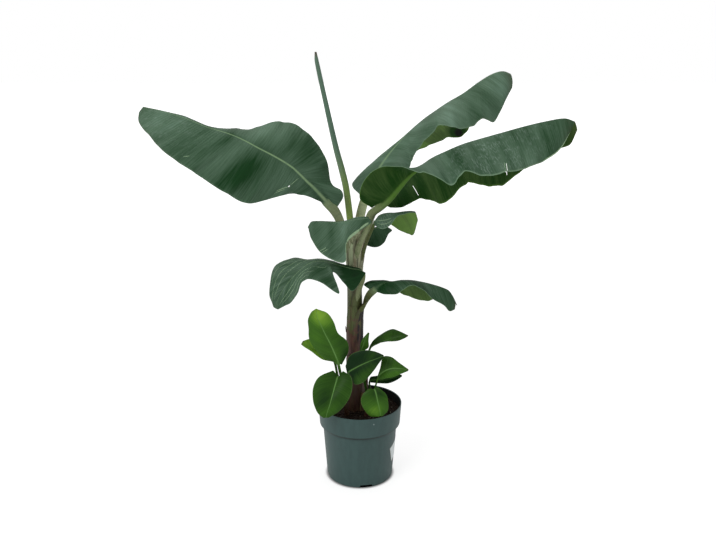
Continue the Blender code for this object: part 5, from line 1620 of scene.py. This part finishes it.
def make_bits(name, material, draw, ball):
    """Loose bits strewn over the soil, joined in one piece."""
    count, small, big, stretch = SOIL_BITS[name]
    points, faces = [], []
    for _ in range(count):
        radius, turn = BITS_RADIUS * math.sqrt(draw.random()), draw.uniform(0, math.tau)
        x, y = radius * math.cos(turn), radius * math.sin(turn)
        size = draw.uniform(small, big)
        long = size * draw.uniform(1.0, stretch)
        heading, lean = draw.uniform(0, math.tau), draw.uniform(-0.35, 0.35)
        start = len(points)
        for px, py, pz in ball[0]:
            bulge = draw.uniform(0.75, 1.2)
            u, v, w = px * long * bulge, py * size * bulge, pz * size * 0.75 * bulge
            u, w = u * math.cos(lean) - w * math.sin(lean), u * math.sin(lean) + w * math.cos(lean)
            at_x = x + u * math.cos(heading) - v * math.sin(heading)
            at_y = y + u * math.sin(heading) + v * math.cos(heading)
            pull = 1.0 if math.hypot(at_x, at_y) < BITS_REACH else 0.97
            points.append((at_x * pull, at_y * pull, soil_height(x, y) + w + 0.2 * size))
        faces += [tuple(start + k for k in face) for face in ball[1]]
    new_piece(name, points, faces, [material], crease=25.0)


def crumb_shape():
    """Points and faces of a small ball, bent into every crumb."""
    tools = bmesh.new()
    bmesh.ops.create_icosphere(tools, subdivisions=1, radius=1.0)
    points = [tuple(vertex.co) for vertex in tools.verts]
    faces = [tuple(vertex.index for vertex in face.verts) for face in tools.faces]
    tools.free()
    return points, faces


def studio_floor():
    """A pale floor that seems evenly lit to the camera, but for the shadow round the pot."""
    looks = bpy.context.scene.plant_studio
    material, n = new_material("studio_floor", 0.1)
    shader = material.node_tree.nodes["Principled BSDF"].inputs
    seen = n.add("ShaderNodeLightPath").outputs["Is Camera Ray"]
    pale = n.mix(n.noise(n.place(), 60.0), looks.floor, dimmed(looks.floor, 0.985))
    n.set(shader["Base Color"], n.mix(n.times(seen, 0.55), pale, looks.floor_shade))
    n.set(shader["Roughness"], 0.8)
    n.set(shader["Emission Color"], (1.0, 1.0, 1.0, 1.0))
    away = n.add("ShaderNodeVectorMath", {0: n.place()}, operation="LENGTH").outputs["Value"]
    glow = n.scaled(seen, n.scaled(n.span(away, 1.0, 6.0), 0.3, 0.64), 0.08)
    n.set(shader["Emission Strength"], n.times(glow, n.span(away, 0.093, 0.105)))
    return material


def make_studio():
    """A pale floor, white surroundings, three soft lights and the camera."""
    scene = bpy.context.scene
    looks = scene.plant_studio
    scene.view_settings.view_transform = "Standard"
    mesh = bpy.data.meshes.new("studio_floor")
    corners = [(x * FLOOR_REACH, y * FLOOR_REACH, 0) for x, y in ((-1, -1), (1, -1), (1, 1), (-1, 1))]
    mesh.from_pydata(corners, [], [(0, 1, 2, 3)])
    mesh.materials.append(studio_floor())
    floor = add_object("studio_floor", mesh)
    scene.world = bpy.data.worlds.new("white_surroundings")
    scene.world.use_nodes = True
    background = scene.world.node_tree.nodes["Background"].inputs
    n = Nodes(scene.world.node_tree)
    seen = n.add("ShaderNodeLightPath").outputs["Is Camera Ray"]
    n.set(background["Color"], (1.0, 1.0, 1.0, 1.0))
    n.set(background["Strength"], n.scaled(seen, 1.0 - looks.world, looks.world))
    for name, (place, size) in LIGHTS.items():
        light = bpy.data.lights.new(name, "AREA")
        light.energy, light.size = getattr(looks, name), size
        turn = (AIM - Vector(place)).to_track_quat("-Z", "Y").to_euler()
        add_object(name, light, location=place, rotation_euler=turn)
    camera = bpy.data.cameras.new("front_camera")
    camera.lens, camera.sensor_width = CAMERA_LENS, 36.0
    turn = (math.radians(90.0 - CAMERA_PITCH), 0.0, math.radians(CAMERA_TURN))
    scene.camera = add_object("front_camera", camera, location=CAMERA_PLACE, rotation_euler=turn)


class PLANT_OT_pot(bpy.types.Operator):
    """Turn the pot and cut its notches and drain holes"""

    bl_idname = "plant.pot"
    bl_label = "Pot"

    def execute(self, context):
        make_pot()
        return {"FINISHED"}


class PLANT_OT_sticker(bpy.types.Operator):
    """Lay the bare sticker on the pot"""

    bl_idname = "plant.sticker"
    bl_label = "Sticker"

    def execute(self, context):
        make_label()
        return {"FINISHED"}


class PLANT_OT_soil(bpy.types.Operator):
    """Fill the pot with crumbly soil"""

    bl_idname = "plant.soil"
    bl_label = "Soil"

    def execute(self, context):
        make_soil()
        return {"FINISHED"}


class PLANT_OT_stem(bpy.types.Operator):
    """Wrap the main stem in its sheaths and the feet of its leaf stalks"""

    bl_idname = "plant.stem"
    bl_label = "Stem"

    def execute(self, context):
        make_stem()
        for name, rows in SHEATHS.items():
            make_wrap(name, rows, once(stem_skin))
        for name, rows in SHEATH_DRY.items():
            make_wrap(name, rows, once(dry_sheath))
        for foot in STALK_FEET:
            make_stalk_foot(*foot)
        return {"FINISHED"}


class PLANT_OT_shoots(bpy.types.Operator):
    """Add the stems of the side shoots"""

    bl_idname = "plant.shoots"
    bl_label = "Side shoots"

    def execute(self, context):
        for name in SHOOTS:
            make_shoot(name)
        return {"FINISHED"}


class PLANT_OT_large_leaves(bpy.types.Operator):
    """Add the three large leaves at the top"""

    bl_idname = "plant.large_leaves"
    bl_label = "Large leaves"

    def execute(self, context):
        make_leaves("large")
        return {"FINISHED"}


class PLANT_OT_medium_leaves(bpy.types.Operator):
    """Add the older, smaller leaves of the main stem"""

    bl_idname = "plant.medium_leaves"
    bl_label = "Lower leaves"

    def execute(self, context):
        make_leaves("medium")
        return {"FINISHED"}


class PLANT_OT_small_leaves(bpy.types.Operator):
    """Add the leaves of the side shoots"""

    bl_idname = "plant.small_leaves"
    bl_label = "Young leaves"

    def execute(self, context):
        make_leaves("small")
        return {"FINISHED"}


class PLANT_OT_new_leaf(bpy.types.Operator):
    """Add the rolled new leaf"""

    bl_idname = "plant.new_leaf"
    bl_label = "New leaf"

    def execute(self, context):
        make_spear()
        return {"FINISHED"}


class PLANT_OT_studio(bpy.types.Operator):
    """Set up the floor, the lights and the camera"""

    bl_idname = "plant.studio"
    bl_label = "Studio"

    def execute(self, context):
        make_studio()
        return {"FINISHED"}


STEPS = (
    PLANT_OT_studio,
    PLANT_OT_pot,
    PLANT_OT_sticker,
    PLANT_OT_soil,
    PLANT_OT_stem,
    PLANT_OT_shoots,
    PLANT_OT_large_leaves,
    PLANT_OT_medium_leaves,
    PLANT_OT_small_leaves,
    PLANT_OT_new_leaf,
)
LOOKS = {"plant_leaves": LeafLooks, "plant_stem": StemLooks, "plant_pot": PotLooks, "plant_studio": StudioLooks}


class PLANT_PT_panel(bpy.types.Panel):
    """Sizes, colours and the steps that build the plant"""

    bl_idname = "PLANT_PT_panel"
    bl_label = "Potted banana plant"
    bl_space_type = "VIEW_3D"
    bl_region_type = "UI"
    bl_category = "Plant"

    def draw(self, context):
        for key, group in LOOKS.items():
            box = self.layout.box()
            for label in group.__annotations__:
                box.prop(getattr(context.scene, key), label)
        for step in STEPS:
            self.layout.operator(step.bl_idname)


def register():
    for cls in (*LOOKS.values(), *STEPS, PLANT_PT_panel):
        bpy.utils.register_class(cls)
    for key, group in LOOKS.items():
        setattr(bpy.types.Scene, key, PointerProperty(type=group))


def unregister():
    for key in LOOKS:
        delattr(bpy.types.Scene, key)
    for cls in (PLANT_PT_panel, *STEPS[::-1], *tuple(LOOKS.values())[::-1]):
        bpy.utils.unregister_class(cls)


def main():
    register()
    bpy.ops.plant.studio()
    bpy.ops.plant.pot()
    bpy.ops.plant.sticker()
    bpy.ops.plant.soil()
    bpy.ops.plant.stem()
    bpy.ops.plant.shoots()
    bpy.ops.plant.large_leaves()
    bpy.ops.plant.medium_leaves()
    bpy.ops.plant.small_leaves()
    bpy.ops.plant.new_leaf()


if __name__ == "__main__":
    main()
